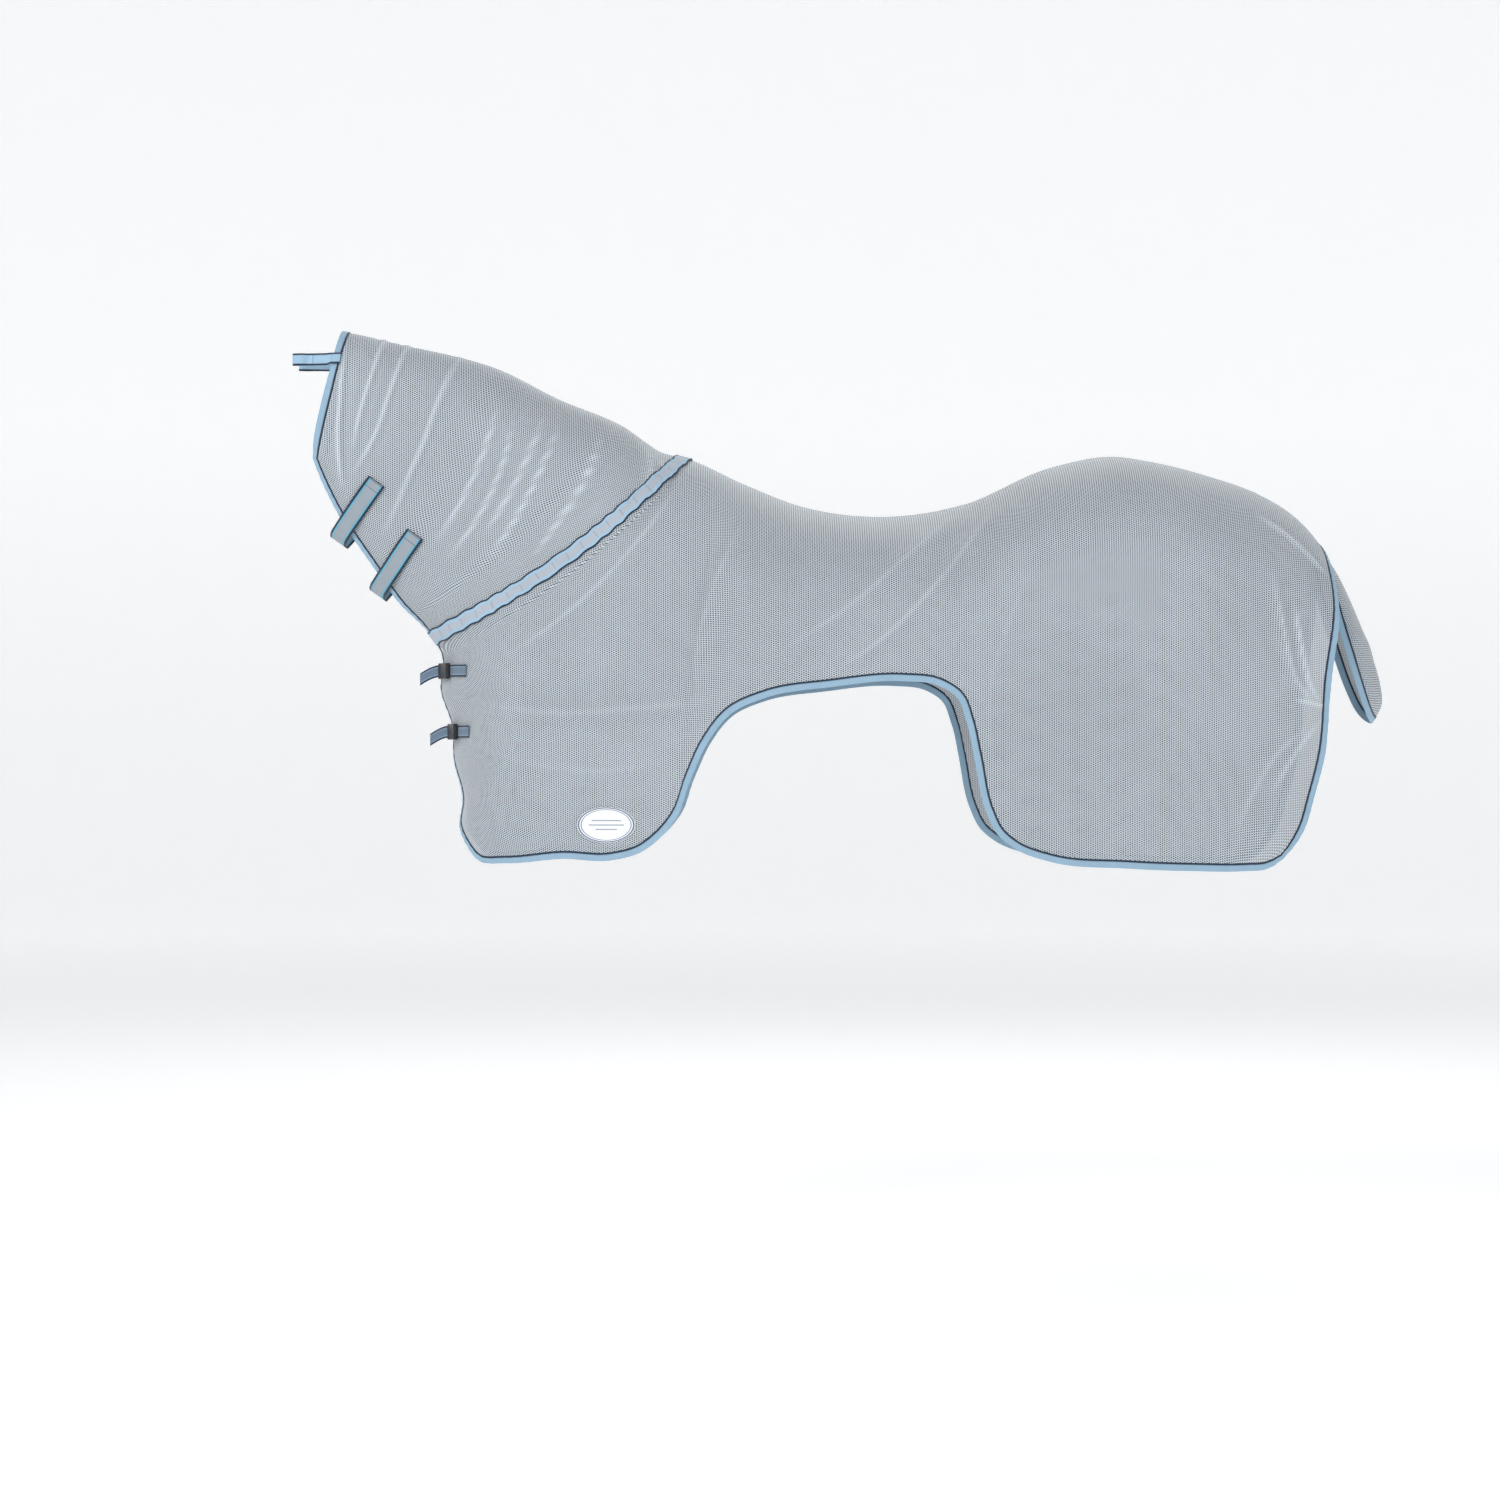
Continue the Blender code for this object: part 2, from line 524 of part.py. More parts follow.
def flap_seat(first_row, body_edge):
    """Moves the flap's first row to the outer side of the body's binding at the dock."""
    points, normals, away = body_edge
    outer = (points + away * (FLAP_GAP + BINDING_GAP + BINDING_WIDTH))[:-5:-1]
    wanted = first_row.copy()
    for axis in (0, 2):
        wanted[:, axis] = np.interp(np.abs(first_row[:, 1]), -outer[:, 1], outer[:, axis])
    return wanted - first_row


# ---- throat straps ----
def strap_spot(name, along, across):
    """(x, z) on the side of the neck: along runs down the strap from its square end, across is its width."""
    end = sized([STRAP_ENDS[name]])[0]
    down = -np.array([math.cos(STRAP_LEAN), math.sin(STRAP_LEAN)])
    return end + down * along + np.array([-down[1], down[0]]) * across


def strap_grid(name):
    """The strap runs down the left side, under the throat and up to where it is sewn to the right side."""
    over_patches = 2 * TOUCH_TAPE_THICKNESS + 3 * CLEARANCE + STRAP_THICKNESS
    over_binding = BINDING_PROUD + CLEARANCE + STRAP_THICKNESS
    turn = [(STRAP_LAP - 0.017, 0.45), (STRAP_LAP, 0.85), (STRAP_LAP + STRAP_PAST_EDGE, 1.0)]
    near = [(0.0, 0.0), (0.03, 0.0), (0.06, 0.0), (0.085, 0.0)] + turn
    far = turn[::-1] + [(STRAP_LAP - 0.03, 0.0), (STRAP_LAP - STRAP_SEWN, 0.0)]
    rows = []
    for share in (-0.5, 0.0, 0.5):
        across = share * STRAP_WIDTH
        left = [laid_on([strap_spot(name, along, across)], 1, over_patches + bulge * STRAP_BULGE)
                for along, bulge in near]
        right = [sided(laid_on([strap_spot(name, along, across)], 1, over_binding + bulge * STRAP_BULGE), 1)
                 for along, bulge in far]
        dip = strap_spot(name, STRAP_LAP + STRAP_DIP, across)
        middle = np.array([[dip[0], 0.0, dip[1]]])
        rows.append(smooth_curve(np.concatenate(left + [middle] + right), 28))
    return np.stack(rows, axis=1)


def touch_patch(name, strap, lift, group):
    """Hook or loop tape on the left side of the neck, under the strap."""
    along = np.linspace(0, TOUCH_TAPE_LENGTH, 6) + TOUCH_TAPE_INSET
    flat = [[strap_spot(strap, a, share * TOUCH_TAPE_WIDTH) for share in (-0.5, 0, 0.5)] for a in along]
    grid = laid_on(flat, 1, lift + TOUCH_TAPE_THICKNESS)
    return sheet_object(name, grid, "hook", group, TOUCH_TAPE_THICKNESS, flip=True)


def make_throat_straps(group):
    for name in STRAP_ENDS:
        grid = strap_grid(name)
        strap = sheet_object(f"throat_strap_{name}", grid, "strap", group, STRAP_THICKNESS, flip=True)
        touch_patch(f"throat_loop_patch_{name}", name, CLEARANCE, group)
        hook = touch_patch(f"throat_hook_patch_{name}", name, 2 * CLEARANCE + TOUCH_TAPE_THICKNESS, group)
        for piece in (strap, hook):
            turn_about(piece, grid[-1, 1])


# ---- bridle tabs ----
def tab_path():
    """Distances forward of the panel edge and out from its surface, along the side of the tape in the loop."""
    flat = TAB_LIFT + TAB_THICKNESS
    far = TAB_REACH
    near = far - TAB_LOOP_LENGTH
    corner = 0.0015
    return np.array([
        (BINDING_WIDTH + CLEARANCE, flat), (0.022, flat), (0.029, flat), (near, flat),
        (far - corner, flat), (far, flat + corner), (far, flat + TAB_LOOP_GAP - corner),
        (far - corner, flat + TAB_LOOP_GAP), (near + corner, flat + TAB_LOOP_GAP),
        (near - 0.004, flat + CLEARANCE), (near - 0.004 - TAB_LAP, flat + CLEARANCE),
    ])


def tab_frame(neck_edge):
    """Origin on the panel edge, forward direction, and normals at the sewn end and at the loop."""
    points, normals, away = neck_edge
    height = float(sized([(0.0, TAB_HEIGHT)])[0, 1])
    at = np.interp(-height, -points[:len(DEPTHS), 2], np.arange(len(DEPTHS)))
    low, share = int(at), at - int(at)
    pick = [array[low] * (1 - share) + array[low + 1] * share for array in (points, normals, away)]
    forward = unit(pick[2] * [1, 1, 0])
    sewn = unit(pick[1] - forward * (pick[1] @ forward))
    return pick[0], forward, sewn, np.cross([0, 0, 1], forward)


def tab_grid(path, frame):
    """Tape along the path that twists from the slope of the neck cover to upright."""
    origin, forward, sewn, hung = frame
    turned = np.clip((path[:, 0] - BINDING_WIDTH) / 0.014, 0, 1)[:, None]
    normals = unit(sewn * (1 - turned) + hung * turned)
    middle = origin + forward * path[:, :1] + normals * path[:, 1:]
    across = np.cross(normals, forward) * TAB_WIDTH / 2
    return np.stack([middle - across, middle + across], axis=1)


def make_bridle_tabs(neck_edge, group):
    """Each tab has a patch sewn over the binding and a hanging part with the loop for the bridle."""
    frame = tab_frame(neck_edge)
    path = tab_path()
    patch = np.array([(-TAB_SEWN, path[0, 1]), (0.0, path[0, 1]), (BINDING_WIDTH, path[0, 1])])
    grid, patch = tab_grid(path, frame), tab_grid(patch, frame)
    for side, word in ((-1, "left"), (1, "right")):
        flip = side > 0
        sheet_object(f"bridle_tab_patch_{word}", sided(patch, side), "binding", group, TAB_THICKNESS, flip)
        tab = sheet_object(f"bridle_tab_{word}", sided(grid, side), "binding", group, TAB_THICKNESS, flip)
        turn_about(tab, sided(grid[0].mean(axis=0), side))


# ---- chest straps and buckles ----
class ChestFrame:
    """Axes at a buckle: along the strap towards the centre line, out from the chest, and up."""

    def __init__(self, height):
        self.height = height
        ahead = self.front(-BUCKLE_OFFSET + 0.01, 0) - self.front(-BUCKLE_OFFSET - 0.01, 0)
        self.along = unit(ahead * [1, 1, 0])
        self.up = np.array([0.0, 0.0, 1.0])
        self.out = np.cross(self.up, self.along)
        self.origin = self.front(-BUCKLE_OFFSET, BINDING_PROUD + CLEARANCE)

    def front(self, across, lift):
        return laid_on([[across, self.height]], 0, lift)[0]

    def place(self, along, out, up):
        return self.origin + self.along * along + self.out * out + self.up * up


def box(frame, low, high):
    """A block in a chest frame, from its low to its high corner along the strap, out and up."""
    low, high = np.array(low), np.array(high)
    made = bmesh.new()
    bmesh.ops.create_cube(made, size=1.0)
    for corner in made.verts:
        local = (low + high) / 2 + np.array(corner.co) * (high - low)
        corner.co = Vector(frame.place(*local))
    return made


def solid_from(name, made, kind, group):
    mesh = bpy.data.meshes.new(name)
    made.to_mesh(mesh)
    made.free()
    return add_object(name, mesh, kind, group)


def cut_away(target, cutter, cutters):
    target.users_collection[0].objects.unlink(cutter)
    cutters.objects.link(cutter)
    cutter.hide_render = True
    cutter.display_type = "WIRE"
    cut = target.modifiers.new(cutter.name, "BOOLEAN")
    cut.object = cutter
    cut.operation = "DIFFERENCE"
    cut.solver = "EXACT"


def round_edges(item, width):
    bevel = item.modifiers.new("rounded_edges", "BEVEL")
    bevel.width = width
    bevel.segments = 2


def buckle_outline():
    """Sizes that the socket and the plug share: half height, half depth, inner half height and half depth."""
    tall, deep = WEBBING_WIDTH / 2 + BUCKLE_SHOULDER, BUCKLE_DEPTH / 2
    return tall, deep, tall - BUCKLE_WALL, deep - BUCKLE_WALL


def make_socket(name, frame, group, cutters):
    tall, deep, inner_tall, inner_deep = buckle_outline()
    out = WEBBING_THICKNESS + CLEARANCE + deep
    end = BUCKLE_LENGTH / 2
    socket = solid_from(name, box(frame, (-end, out - deep, -tall), (end, out + deep, tall)), "buckle", group)
    round_edges(socket, 0.0018)
    hollow = box(frame, (end - SOCKET_DEPTH, out - inner_deep, -inner_tall),
                 (end + 0.01, out + inner_deep, inner_tall))
    cut_away(socket, solid_from(f"{name}_hollow", hollow, "buckle", group), cutters)
    window = box(frame, (end - 0.015, out - inner_deep, -tall - 0.01), (end - 0.006, out + inner_deep, tall + 0.01))
    cut_away(socket, solid_from(f"{name}_windows", window, "buckle", group), cutters)


def make_plug(name, frame, group):
    """Base outside the socket, with a tongue and two prongs that reach into it."""
    tall, deep, inner_tall, inner_deep = buckle_outline()
    out = WEBBING_THICKNESS + CLEARANCE + deep
    start = BUCKLE_LENGTH / 2 + PLUG_SLOP
    reach = start - SOCKET_DEPTH + 3 * PLUG_SLOP
    thin = inner_deep - PLUG_SLOP
    prong = inner_tall - PLUG_SLOP
    base = box(frame, (start, out - deep, -tall), (start + PLUG_BASE, out + deep, tall))
    plug = solid_from(name, base, "buckle", group)
    round_edges(plug, 0.0015)
    overlap = 0.003
    for word, low, high in (("tongue", -TONGUE_WIDTH / 2, TONGUE_WIDTH / 2),
                            ("upper_prong", prong - PRONG_WIDTH, prong), ("lower_prong", -prong, PRONG_WIDTH - prong)):
        made = box(frame, (reach, out - thin, low), (start + overlap, out + thin, high))
        join_into(plug, solid_from(f"{name}_{word}", made, "buckle", group))
    turn_about(plug, frame.place(start, out, 0))


def join_into(target, limb):
    """Unites a block with the target and removes the block."""
    join = target.modifiers.new(limb.name, "BOOLEAN")
    join.object = limb
    join.operation = "UNION"
    join.solver = "EXACT"
    made = bpy.data.meshes.new_from_object(target.evaluated_get(bpy.context.evaluated_depsgraph_get()))
    target.modifiers.clear()
    target.data = made
    bpy.data.objects.remove(limb, do_unlink=True)


def webbing_grid(frame, line):
    """Flat webbing that stands on edge along the line, its outer face away from the horse."""
    up = frame.up * WEBBING_WIDTH / 2
    return np.stack([line - up, line + up], axis=1)


def make_chest_strap(name, frame, group, cutters):
    end = BUCKLE_LENGTH / 2
    lift = BINDING_PROUD + CLEARANCE + WEBBING_THICKNESS
    sewn = [frame.front(-across, lift) for across in np.linspace(WEBBING_SEWN_LEFT, BUCKLE_OFFSET + end + 0.004, 4)]
    short = np.array(sewn + [frame.place(along, WEBBING_THICKNESS, 0) for along in (0.004 - end, -0.003)])
    sheet_object(f"chest_webbing_left_{name}", webbing_grid(frame, short), "webbing", group, WEBBING_THICKNESS, True)
    straight = [frame.place(along, WEBBING_THICKNESS, 0) for along in (0.005, 0.025, 0.045, 0.055)]
    right = []
    for across in np.linspace(0.010, WEBBING_SEWN_RIGHT, 7):
        bulge = WEBBING_BULGE * max(0.0, 1 - across / 0.07)
        right.append(frame.front(-across, lift + bulge) * [1, -1, 1])
    long = smooth_curve(np.array(straight + right), 16)
    sheet_object(f"chest_webbing_right_{name}", webbing_grid(frame, long), "webbing", group, WEBBING_THICKNESS, True)
    make_socket(f"buckle_socket_{name}", frame, group, cutters)
    make_plug(f"buckle_plug_{name}", frame, group)
    make_free_end(f"webbing_end_{name}", frame, group)


def make_free_end(name, frame, group):
    """Loose end of the webbing, which leaves the plug outwards and droops."""
    root = frame.place(BUCKLE_LENGTH / 2 + PLUG_SLOP + PLUG_BASE + CLEARANCE, WEBBING_THICKNESS + BUCKLE_DEPTH, 0)
    run = np.linspace(0, 1, 6)
    swing, droop = math.radians(38), math.radians(22)
    line = (root + np.outer(run * TAIL_LENGTH * math.cos(swing), frame.along)
            + np.outer(run * TAIL_LENGTH * math.sin(swing), frame.out)
            - np.outer(run ** 1.5 * TAIL_LENGTH * math.sin(droop), frame.up))
    turn_about(sheet_object(name, webbing_grid(frame, line), "webbing", group, WEBBING_THICKNESS, True), root)


# ---- label ----
def make_label(group):
    made = bmesh.new()
    bmesh.ops.create_circle(made, cap_ends=True, cap_tris=True, segments=32, radius=1.0)
    centre = sized([LABEL_CENTRE])[0]
    half = np.array([LABEL_LENGTH, LABEL_HEIGHT]) / 2
    for corner in made.verts:
        flat = centre + np.array([corner.co.x, corner.co.y]) * half
        corner.co = Vector(laid_on([flat], 1, CLEARANCE + LABEL_THICKNESS)[0])
    bmesh.ops.recalc_face_normals(made, faces=made.faces)
    if sum(face.normal.y for face in made.faces) > 0:
        bmesh.ops.reverse_faces(made, faces=made.faces)
    label = solid_from("label_patch", made, "label", group)
    solid = label.modifiers.new("thickness", "SOLIDIFY")
    solid.thickness = LABEL_THICKNESS
    solid.offset = -1


# ---- start ----
def clear_scene():
    for item in list(bpy.data.objects):
        bpy.data.objects.remove(item, do_unlink=True)


def main():
    clear_scene()
    group = bpy.data.collections.new("fly_sheet")
    bpy.context.scene.collection.children.link(group)
    cutters = bpy.data.collections.new("cutters")
    bpy.context.scene.collection.children.link(cutters)
    neck_edge, body_edge = make_cloth(group)
    make_tail_flap(body_edge, group)
    make_throat_straps(group)
    make_bridle_tabs(neck_edge, group)
    for name, height in CHEST_HEIGHTS.items():
        make_chest_strap(name, ChestFrame(float(sized([(0.0, height)])[0, 1])), group, cutters)
    make_label(group)


main()
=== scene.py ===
"""Finished look of a riding fly sheet: mesh body and neck cover, tapes, straps and chest buckles.

Units are metres, +Z is up, the horse faces -X and its left side is -Y. The origin is the top line at
the withers. Each half of the sheet is one surface of two parameters, worked out as whole arrays.
"""

import json
import math

import bmesh
import bpy
import numpy as np
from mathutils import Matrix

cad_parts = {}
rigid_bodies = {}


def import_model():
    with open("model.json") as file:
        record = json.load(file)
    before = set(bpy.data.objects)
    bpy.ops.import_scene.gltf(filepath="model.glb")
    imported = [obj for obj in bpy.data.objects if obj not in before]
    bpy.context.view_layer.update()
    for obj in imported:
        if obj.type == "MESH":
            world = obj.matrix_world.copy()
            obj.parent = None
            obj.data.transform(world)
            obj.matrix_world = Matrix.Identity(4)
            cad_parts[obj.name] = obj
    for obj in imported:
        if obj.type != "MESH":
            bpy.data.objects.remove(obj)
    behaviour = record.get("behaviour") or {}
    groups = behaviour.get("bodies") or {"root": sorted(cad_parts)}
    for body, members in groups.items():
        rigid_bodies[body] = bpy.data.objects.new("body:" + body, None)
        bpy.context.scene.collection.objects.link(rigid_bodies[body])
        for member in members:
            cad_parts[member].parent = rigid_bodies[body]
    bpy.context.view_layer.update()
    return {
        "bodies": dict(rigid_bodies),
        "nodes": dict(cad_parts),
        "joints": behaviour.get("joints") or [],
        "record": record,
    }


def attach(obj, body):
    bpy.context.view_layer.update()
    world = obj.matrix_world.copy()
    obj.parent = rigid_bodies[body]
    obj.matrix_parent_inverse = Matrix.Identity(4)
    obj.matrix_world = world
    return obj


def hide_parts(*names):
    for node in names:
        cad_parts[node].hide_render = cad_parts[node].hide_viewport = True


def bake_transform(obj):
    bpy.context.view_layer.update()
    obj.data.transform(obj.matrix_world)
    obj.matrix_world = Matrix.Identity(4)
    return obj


bl_info = {
    "name": "Riding Fly Sheet",
    "version": (1, 0, 0),
    "blender": (4, 5, 0),
    "location": "View3D > Sidebar > Fly Sheet",
    "description": "Builds the cloth, tapes, straps and buckles of a riding fly sheet",
    "category": "Add Mesh",
}

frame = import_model()

# ---- outlines in side view (x, z) and the sizes of each section, by position along the lower edge ----
TOP_LINE = [
    (-0.800, 0.278), (-0.729, 0.269), (-0.605, 0.242), (-0.399, 0.189), (-0.273, 0.126),
    (-0.147, 0.074), (-0.053, 0.014), (0.000, 0.000), (0.110, -0.050), (0.240, -0.100),
    (0.400, -0.120), (0.571, -0.095), (0.756, -0.017), (0.886, 0.006), (0.971, -0.006),
    (1.082, -0.034), (1.193, -0.074), (1.259, -0.114), (1.303, -0.158), (1.332, -0.202),
]
FACE_EDGE = [(-0.729, 0.269), (-0.752, 0.170), (-0.774, 0.080), (-0.790, 0.002)]
LOWER_EDGE = [
    (-0.790, 0.002), (-0.733, -0.119), (-0.651, -0.238), (-0.603, -0.303), (-0.541, -0.369),
    (-0.519, -0.410), (-0.522, -0.483), (-0.500, -0.557), (-0.496, -0.630), (-0.474, -0.710),
    (-0.478, -0.765), (-0.461, -0.801), (-0.430, -0.836), (-0.380, -0.841), (-0.258, -0.832),
    (-0.157, -0.834), (-0.097, -0.818), (-0.059, -0.790), (-0.022, -0.745), (0.008, -0.665),
    (0.043, -0.591), (0.089, -0.535), (0.159, -0.503), (0.289, -0.482), (0.438, -0.470),
    (0.507, -0.479), (0.544, -0.503), (0.563, -0.549), (0.579, -0.619), (0.604, -0.735),
    (0.625, -0.778), (0.660, -0.808), (0.735, -0.836), (0.895, -0.850), (1.036, -0.856),
    (1.141, -0.857), (1.182, -0.854), (1.222, -0.832),
]
EDGE_END = sum(math.dist(a, b) for a, b in zip(LOWER_EDGE, LOWER_EDGE[1:]))
REAR_EDGE = [
    (1.332, -0.202), (1.337, -0.250), (1.341, -0.325), (1.320, -0.480), (1.305, -0.630),
    (1.283, -0.710), (1.262, -0.775), (1.222, -0.832),
]
RIB_TOPS = [
    (0.00, -0.729), (0.134, -0.640), (0.278, -0.430), (0.359, -0.240), (0.420, -0.070),
    (0.450, -0.012), (0.520, 0.010), (0.720, 0.028), (0.945, 0.042), (1.218, 0.058),
    (1.471, 0.080), (1.553, 0.100), (1.625, 0.135), (1.702, 0.190), (1.834, 0.310),
    (2.053, 0.515), (2.147, 0.590), (2.219, 0.635), (2.391, 0.730), (2.669, 0.920),
    (2.880, 1.150), (2.960, 1.265), (EDGE_END, 1.332),
]
HALF_WIDTHS = [
    (0.00, 0.085), (0.278, 0.108), (0.450, 0.168), (0.520, 0.184), (0.720, 0.200), (0.945, 0.211),
    (1.218, 0.224), (1.471, 0.240), (1.553, 0.254), (1.625, 0.276), (1.702, 0.300), (1.834, 0.320),
    (2.053, 0.330), (2.391, 0.326), (2.669, 0.308), (2.880, 0.272), (EDGE_END, 0.200),
]
LOW_WIDTHS = [
    (0.00, 0.085), (0.278, 0.108), (0.450, 0.172), (0.720, 0.222), (0.945, 0.236),
    (1.218, 0.258), (1.471, 0.290), (1.702, 0.316), (1.983, 0.328), (2.391, 0.322),
    (2.669, 0.298), (2.880, 0.262), (EDGE_END, 0.216),
]
TOP_ROUNDS = [
    (0.00, 0.110), (0.278, 0.150), (0.450, 0.200), (0.945, 0.260), (2.669, 0.250), (EDGE_END, 0.200),
]
LOW_ROUNDS = [(0.00, 0.090), (0.278, 0.120), (0.450, 0.190), (0.945, 0.220), (EDGE_END, 0.200)]
WRAP_DEGREES = [
    (0.00, 34.0), (0.278, 50.0), (0.400, 66.0), (0.460, 80.0), (0.520, 83.0), (0.700, 82.0),
    (0.803, 68.0), (0.898, 50.0), (0.995, 30.0), (1.150, 10.0), (1.300, 0.0), (EDGE_END, 0.0),
]
SAGS = [(0.00, 0.000), (0.278, 0.010), (0.450, 0.034), (0.720, 0.020), (1.218, 0.000), (EDGE_END, 0.000)]
WITHER_SEAM = 0.450
ROUND_STRETCH = 1.3
SEAM_HALF_GAP = 0.001
TURN_LIMIT = 84.0
PANEL_SIZES = {"neck": (0.80, 0.68), "body": (1.95, 1.10)}
BINDING_WIDTH = 0.015
BINDING_INNER = 0.0022
BINDING_HALF_THICKNESS = 0.0013
WIDE_TAPE_HALF = 0.017
SEAM_TAPE_HALF = 0.010

# ---- folds as lines in side view: name, points, height, half width ----
FOLDS = [
    ("crest front", [(-0.632, 0.285), (-0.659, 0.180), (-0.684, 0.097), (-0.701, 0.014)], 0.0045, 0.0060),
    ("crest rear", [(-0.580, 0.280), (-0.622, 0.139), (-0.659, 0.035), (-0.705, -0.038)], 0.0045, 0.0060),
    ("crest middle", [(-0.470, 0.240), (-0.520, 0.120), (-0.560, 0.010), (-0.610, -0.090)], 0.0035, 0.0065),
    ("beside long neck", [(-0.395, 0.120), (-0.455, -0.060), (-0.490, -0.125), (-0.530, -0.180)],
     0.0035, 0.006),
    ("beside second neck", [(-0.300, 0.090), (-0.372, -0.080), (-0.425, -0.165)], 0.0035, 0.006),
    ("short pucker", [(1.238, -0.506), (1.270, -0.512), (1.306, -0.522)], 0.0060, 0.0065),
    ("beside face edge", [(-0.716, 0.233), (-0.726, 0.139), (-0.731, 0.035), (-0.722, -0.068)],
     0.0050, 0.009),
    ("long neck", [(-0.365, 0.080), (-0.429, -0.116), (-0.466, -0.172), (-0.505, -0.218)],
     0.0055, 0.0070),
    ("second neck", [(-0.269, 0.070), (-0.345, -0.107), (-0.385, -0.172), (-0.420, -0.215)],
     0.0050, 0.0070),
    ("third neck", [(-0.184, 0.052), (-0.215, -0.051), (-0.266, -0.134), (-0.328, -0.217)], 0.0040, 0.010),
    ("upper neck", [(-0.500, 0.190), (-0.545, 0.050), (-0.590, -0.060), (-0.640, -0.170)], 0.0030, 0.012),
    ("withers", [(-0.101, 0.031), (-0.080, -0.031), (-0.101, -0.093), (-0.142, -0.134)], 0.0070, 0.012),
    ("over the seam", [(-0.060, 0.000), (-0.055, -0.040), (-0.080, -0.080)], 0.0050, 0.010),
    ("across the chest", [(-0.449, -0.506), (-0.276, -0.533), (-0.100, -0.523), (0.064, -0.508)],
     0.0080, 0.022),
    ("low chest", [(-0.440, -0.600), (-0.300, -0.640), (-0.150, -0.650), (-0.030, -0.620)], 0.0040, 0.026),
    ("shoulder", [(-0.020, -0.060), (-0.120, -0.200), (-0.240, -0.320), (-0.380, -0.420)], 0.0045, 0.016),
    ("saddle front", [(0.120, -0.120), (0.060, -0.260), (0.020, -0.400), (0.020, -0.520)], 0.0050, 0.022),
    ("behind the saddle", [(0.633, -0.102), (0.512, -0.264), (0.390, -0.386), (0.299, -0.447)],
     0.0060, 0.016),
    ("under the saddle", [(0.560, -0.110), (0.430, -0.230), (0.310, -0.330), (0.200, -0.400)], 0.0040, 0.018),
    ("flank", [(0.720, -0.200), (0.650, -0.350), (0.610, -0.500), (0.620, -0.640)], 0.0035, 0.030),
    ("drag above", [(1.190, -0.240), (1.215, -0.360), (1.245, -0.470), (1.301, -0.531)], 0.0060, 0.012),
    ("drag between", [(1.240, -0.300), (1.255, -0.400), (1.275, -0.480), (1.305, -0.525)], 0.0050, 0.009),
    ("drag below", [(1.190, -0.700), (1.225, -0.640), (1.262, -0.585), (1.300, -0.545)], 0.0050, 0.012),
    ("rear thigh", [(1.120, -0.780), (1.150, -0.700), (1.200, -0.620), (1.270, -0.560)], 0.0035, 0.016),
    ("croup dart", [(1.157, -0.124), (1.212, -0.155), (1.255, -0.190), (1.290, -0.225), (1.317, -0.254)],
     0.0035, 0.0045),
]

# ---- where the small pieces sit ----
STRAP_ENDS = {"upper": (-0.649, -0.051), "lower": (-0.567, -0.162)}
STRAP_LEAN = math.radians(54.5)
STRAP_WIDTH = 0.041
STRAP_LAP = 0.122
STRAP_PAST_EDGE = 0.007
STRAP_BULGE = 0.006
STRAP_DIP = 0.028
STRAP_SEWN = 0.045
TOUCH_TAPE = {"length": 0.080, "width": 0.033, "inset": 0.008, "thickness": 0.0008}
CLEARANCE = 0.0003
TAB_HEIGHT = 0.205
TAB_SEWN = 0.003
TAB_REACH = 0.099
TAB_LOOP = (0.026, 0.0075)
TAB_LIFT = 0.0042
TAB_LAP = 0.012
TAPE_THICKNESS = 0.0015
WEBBING_WIDTH = 0.025
WEBBING_THICKNESS = 0.0016
BUCKLE_LENGTH = 0.036
BUCKLE_DEPTH = 0.010
PLUG_BASE = 0.0127
BUCKLE_OFFSET = 0.088
WEBBING_SEWN = (0.150, 0.125)
WEBBING_BULGE = 0.009
TAIL_LENGTH = 0.045
CHEST_HEIGHTS = {"upper": -0.445, "lower": -0.571}
LABEL_CENTRE = (-0.167, -0.762)
LABEL_SIZE = (0.120, 0.073)
FLAP_EDGE = [(1.340, 0.095, -0.240), (1.360, 0.100, -0.330), (1.382, 0.098, -0.410), (1.404, 0.084, -0.480),
             (1.420, 0.060, -0.520), (1.431, 0.034, -0.536), (1.438, 0.014, -0.541)]
FLAP_RIDGE = [(1.345, -0.212), (1.374, -0.258), (1.404, -0.330), (1.430, -0.410),
              (1.447, -0.470), (1.450, -0.518), (1.439, -0.540)]


# ---- settings that a user would change ----
def colour_setting(name, description, default):
    return bpy.props.FloatVectorProperty(name=name, description=description, subtype="COLOR", size=3,
                                         min=0.0, max=1.0, default=default)


class FlySheetClothSettings(bpy.types.PropertyGroup):
    mesh_colour: colour_setting("Mesh yarn", "Colour of the mesh cloth's yarn", (0.60, 0.66, 0.71))
    # Painted shade: a dark colour laid over the mesh holes, partly opaque.
    hole_shade: colour_setting(
        "Hole shade", "Shade seen in the open holes, as over a dark coat", (0.030, 0.040, 0.052))
    hole_cover: bpy.props.FloatProperty(
        name="Hole cover", description="How opaque the shade in the holes is", subtype="FACTOR",
        default=0.72, min=0.0, max=1.0)
    hole_spacing: bpy.props.FloatProperty(
        name="Hole spacing", description="Distance between holes in one row of the mesh",
        default=0.0094, min=0.002, max=0.03, unit="LENGTH", precision=4)
    row_spacing: bpy.props.FloatProperty(
        name="Row spacing", description="Distance down from a hole to the next one in its column",
        default=0.0045, min=0.001, max=0.02, unit="LENGTH", precision=4)
    fold_height: bpy.props.FloatProperty(
        name="Fold height", description="Share of the full height that the folds have",
        default=1.0, min=0.0, max=1.2)
    cell: bpy.props.FloatProperty(
        name="Surface step", description="Distance between the points of the cloth surface",
        default=0.0056, min=0.005, max=0.05, unit="LENGTH", precision=4)


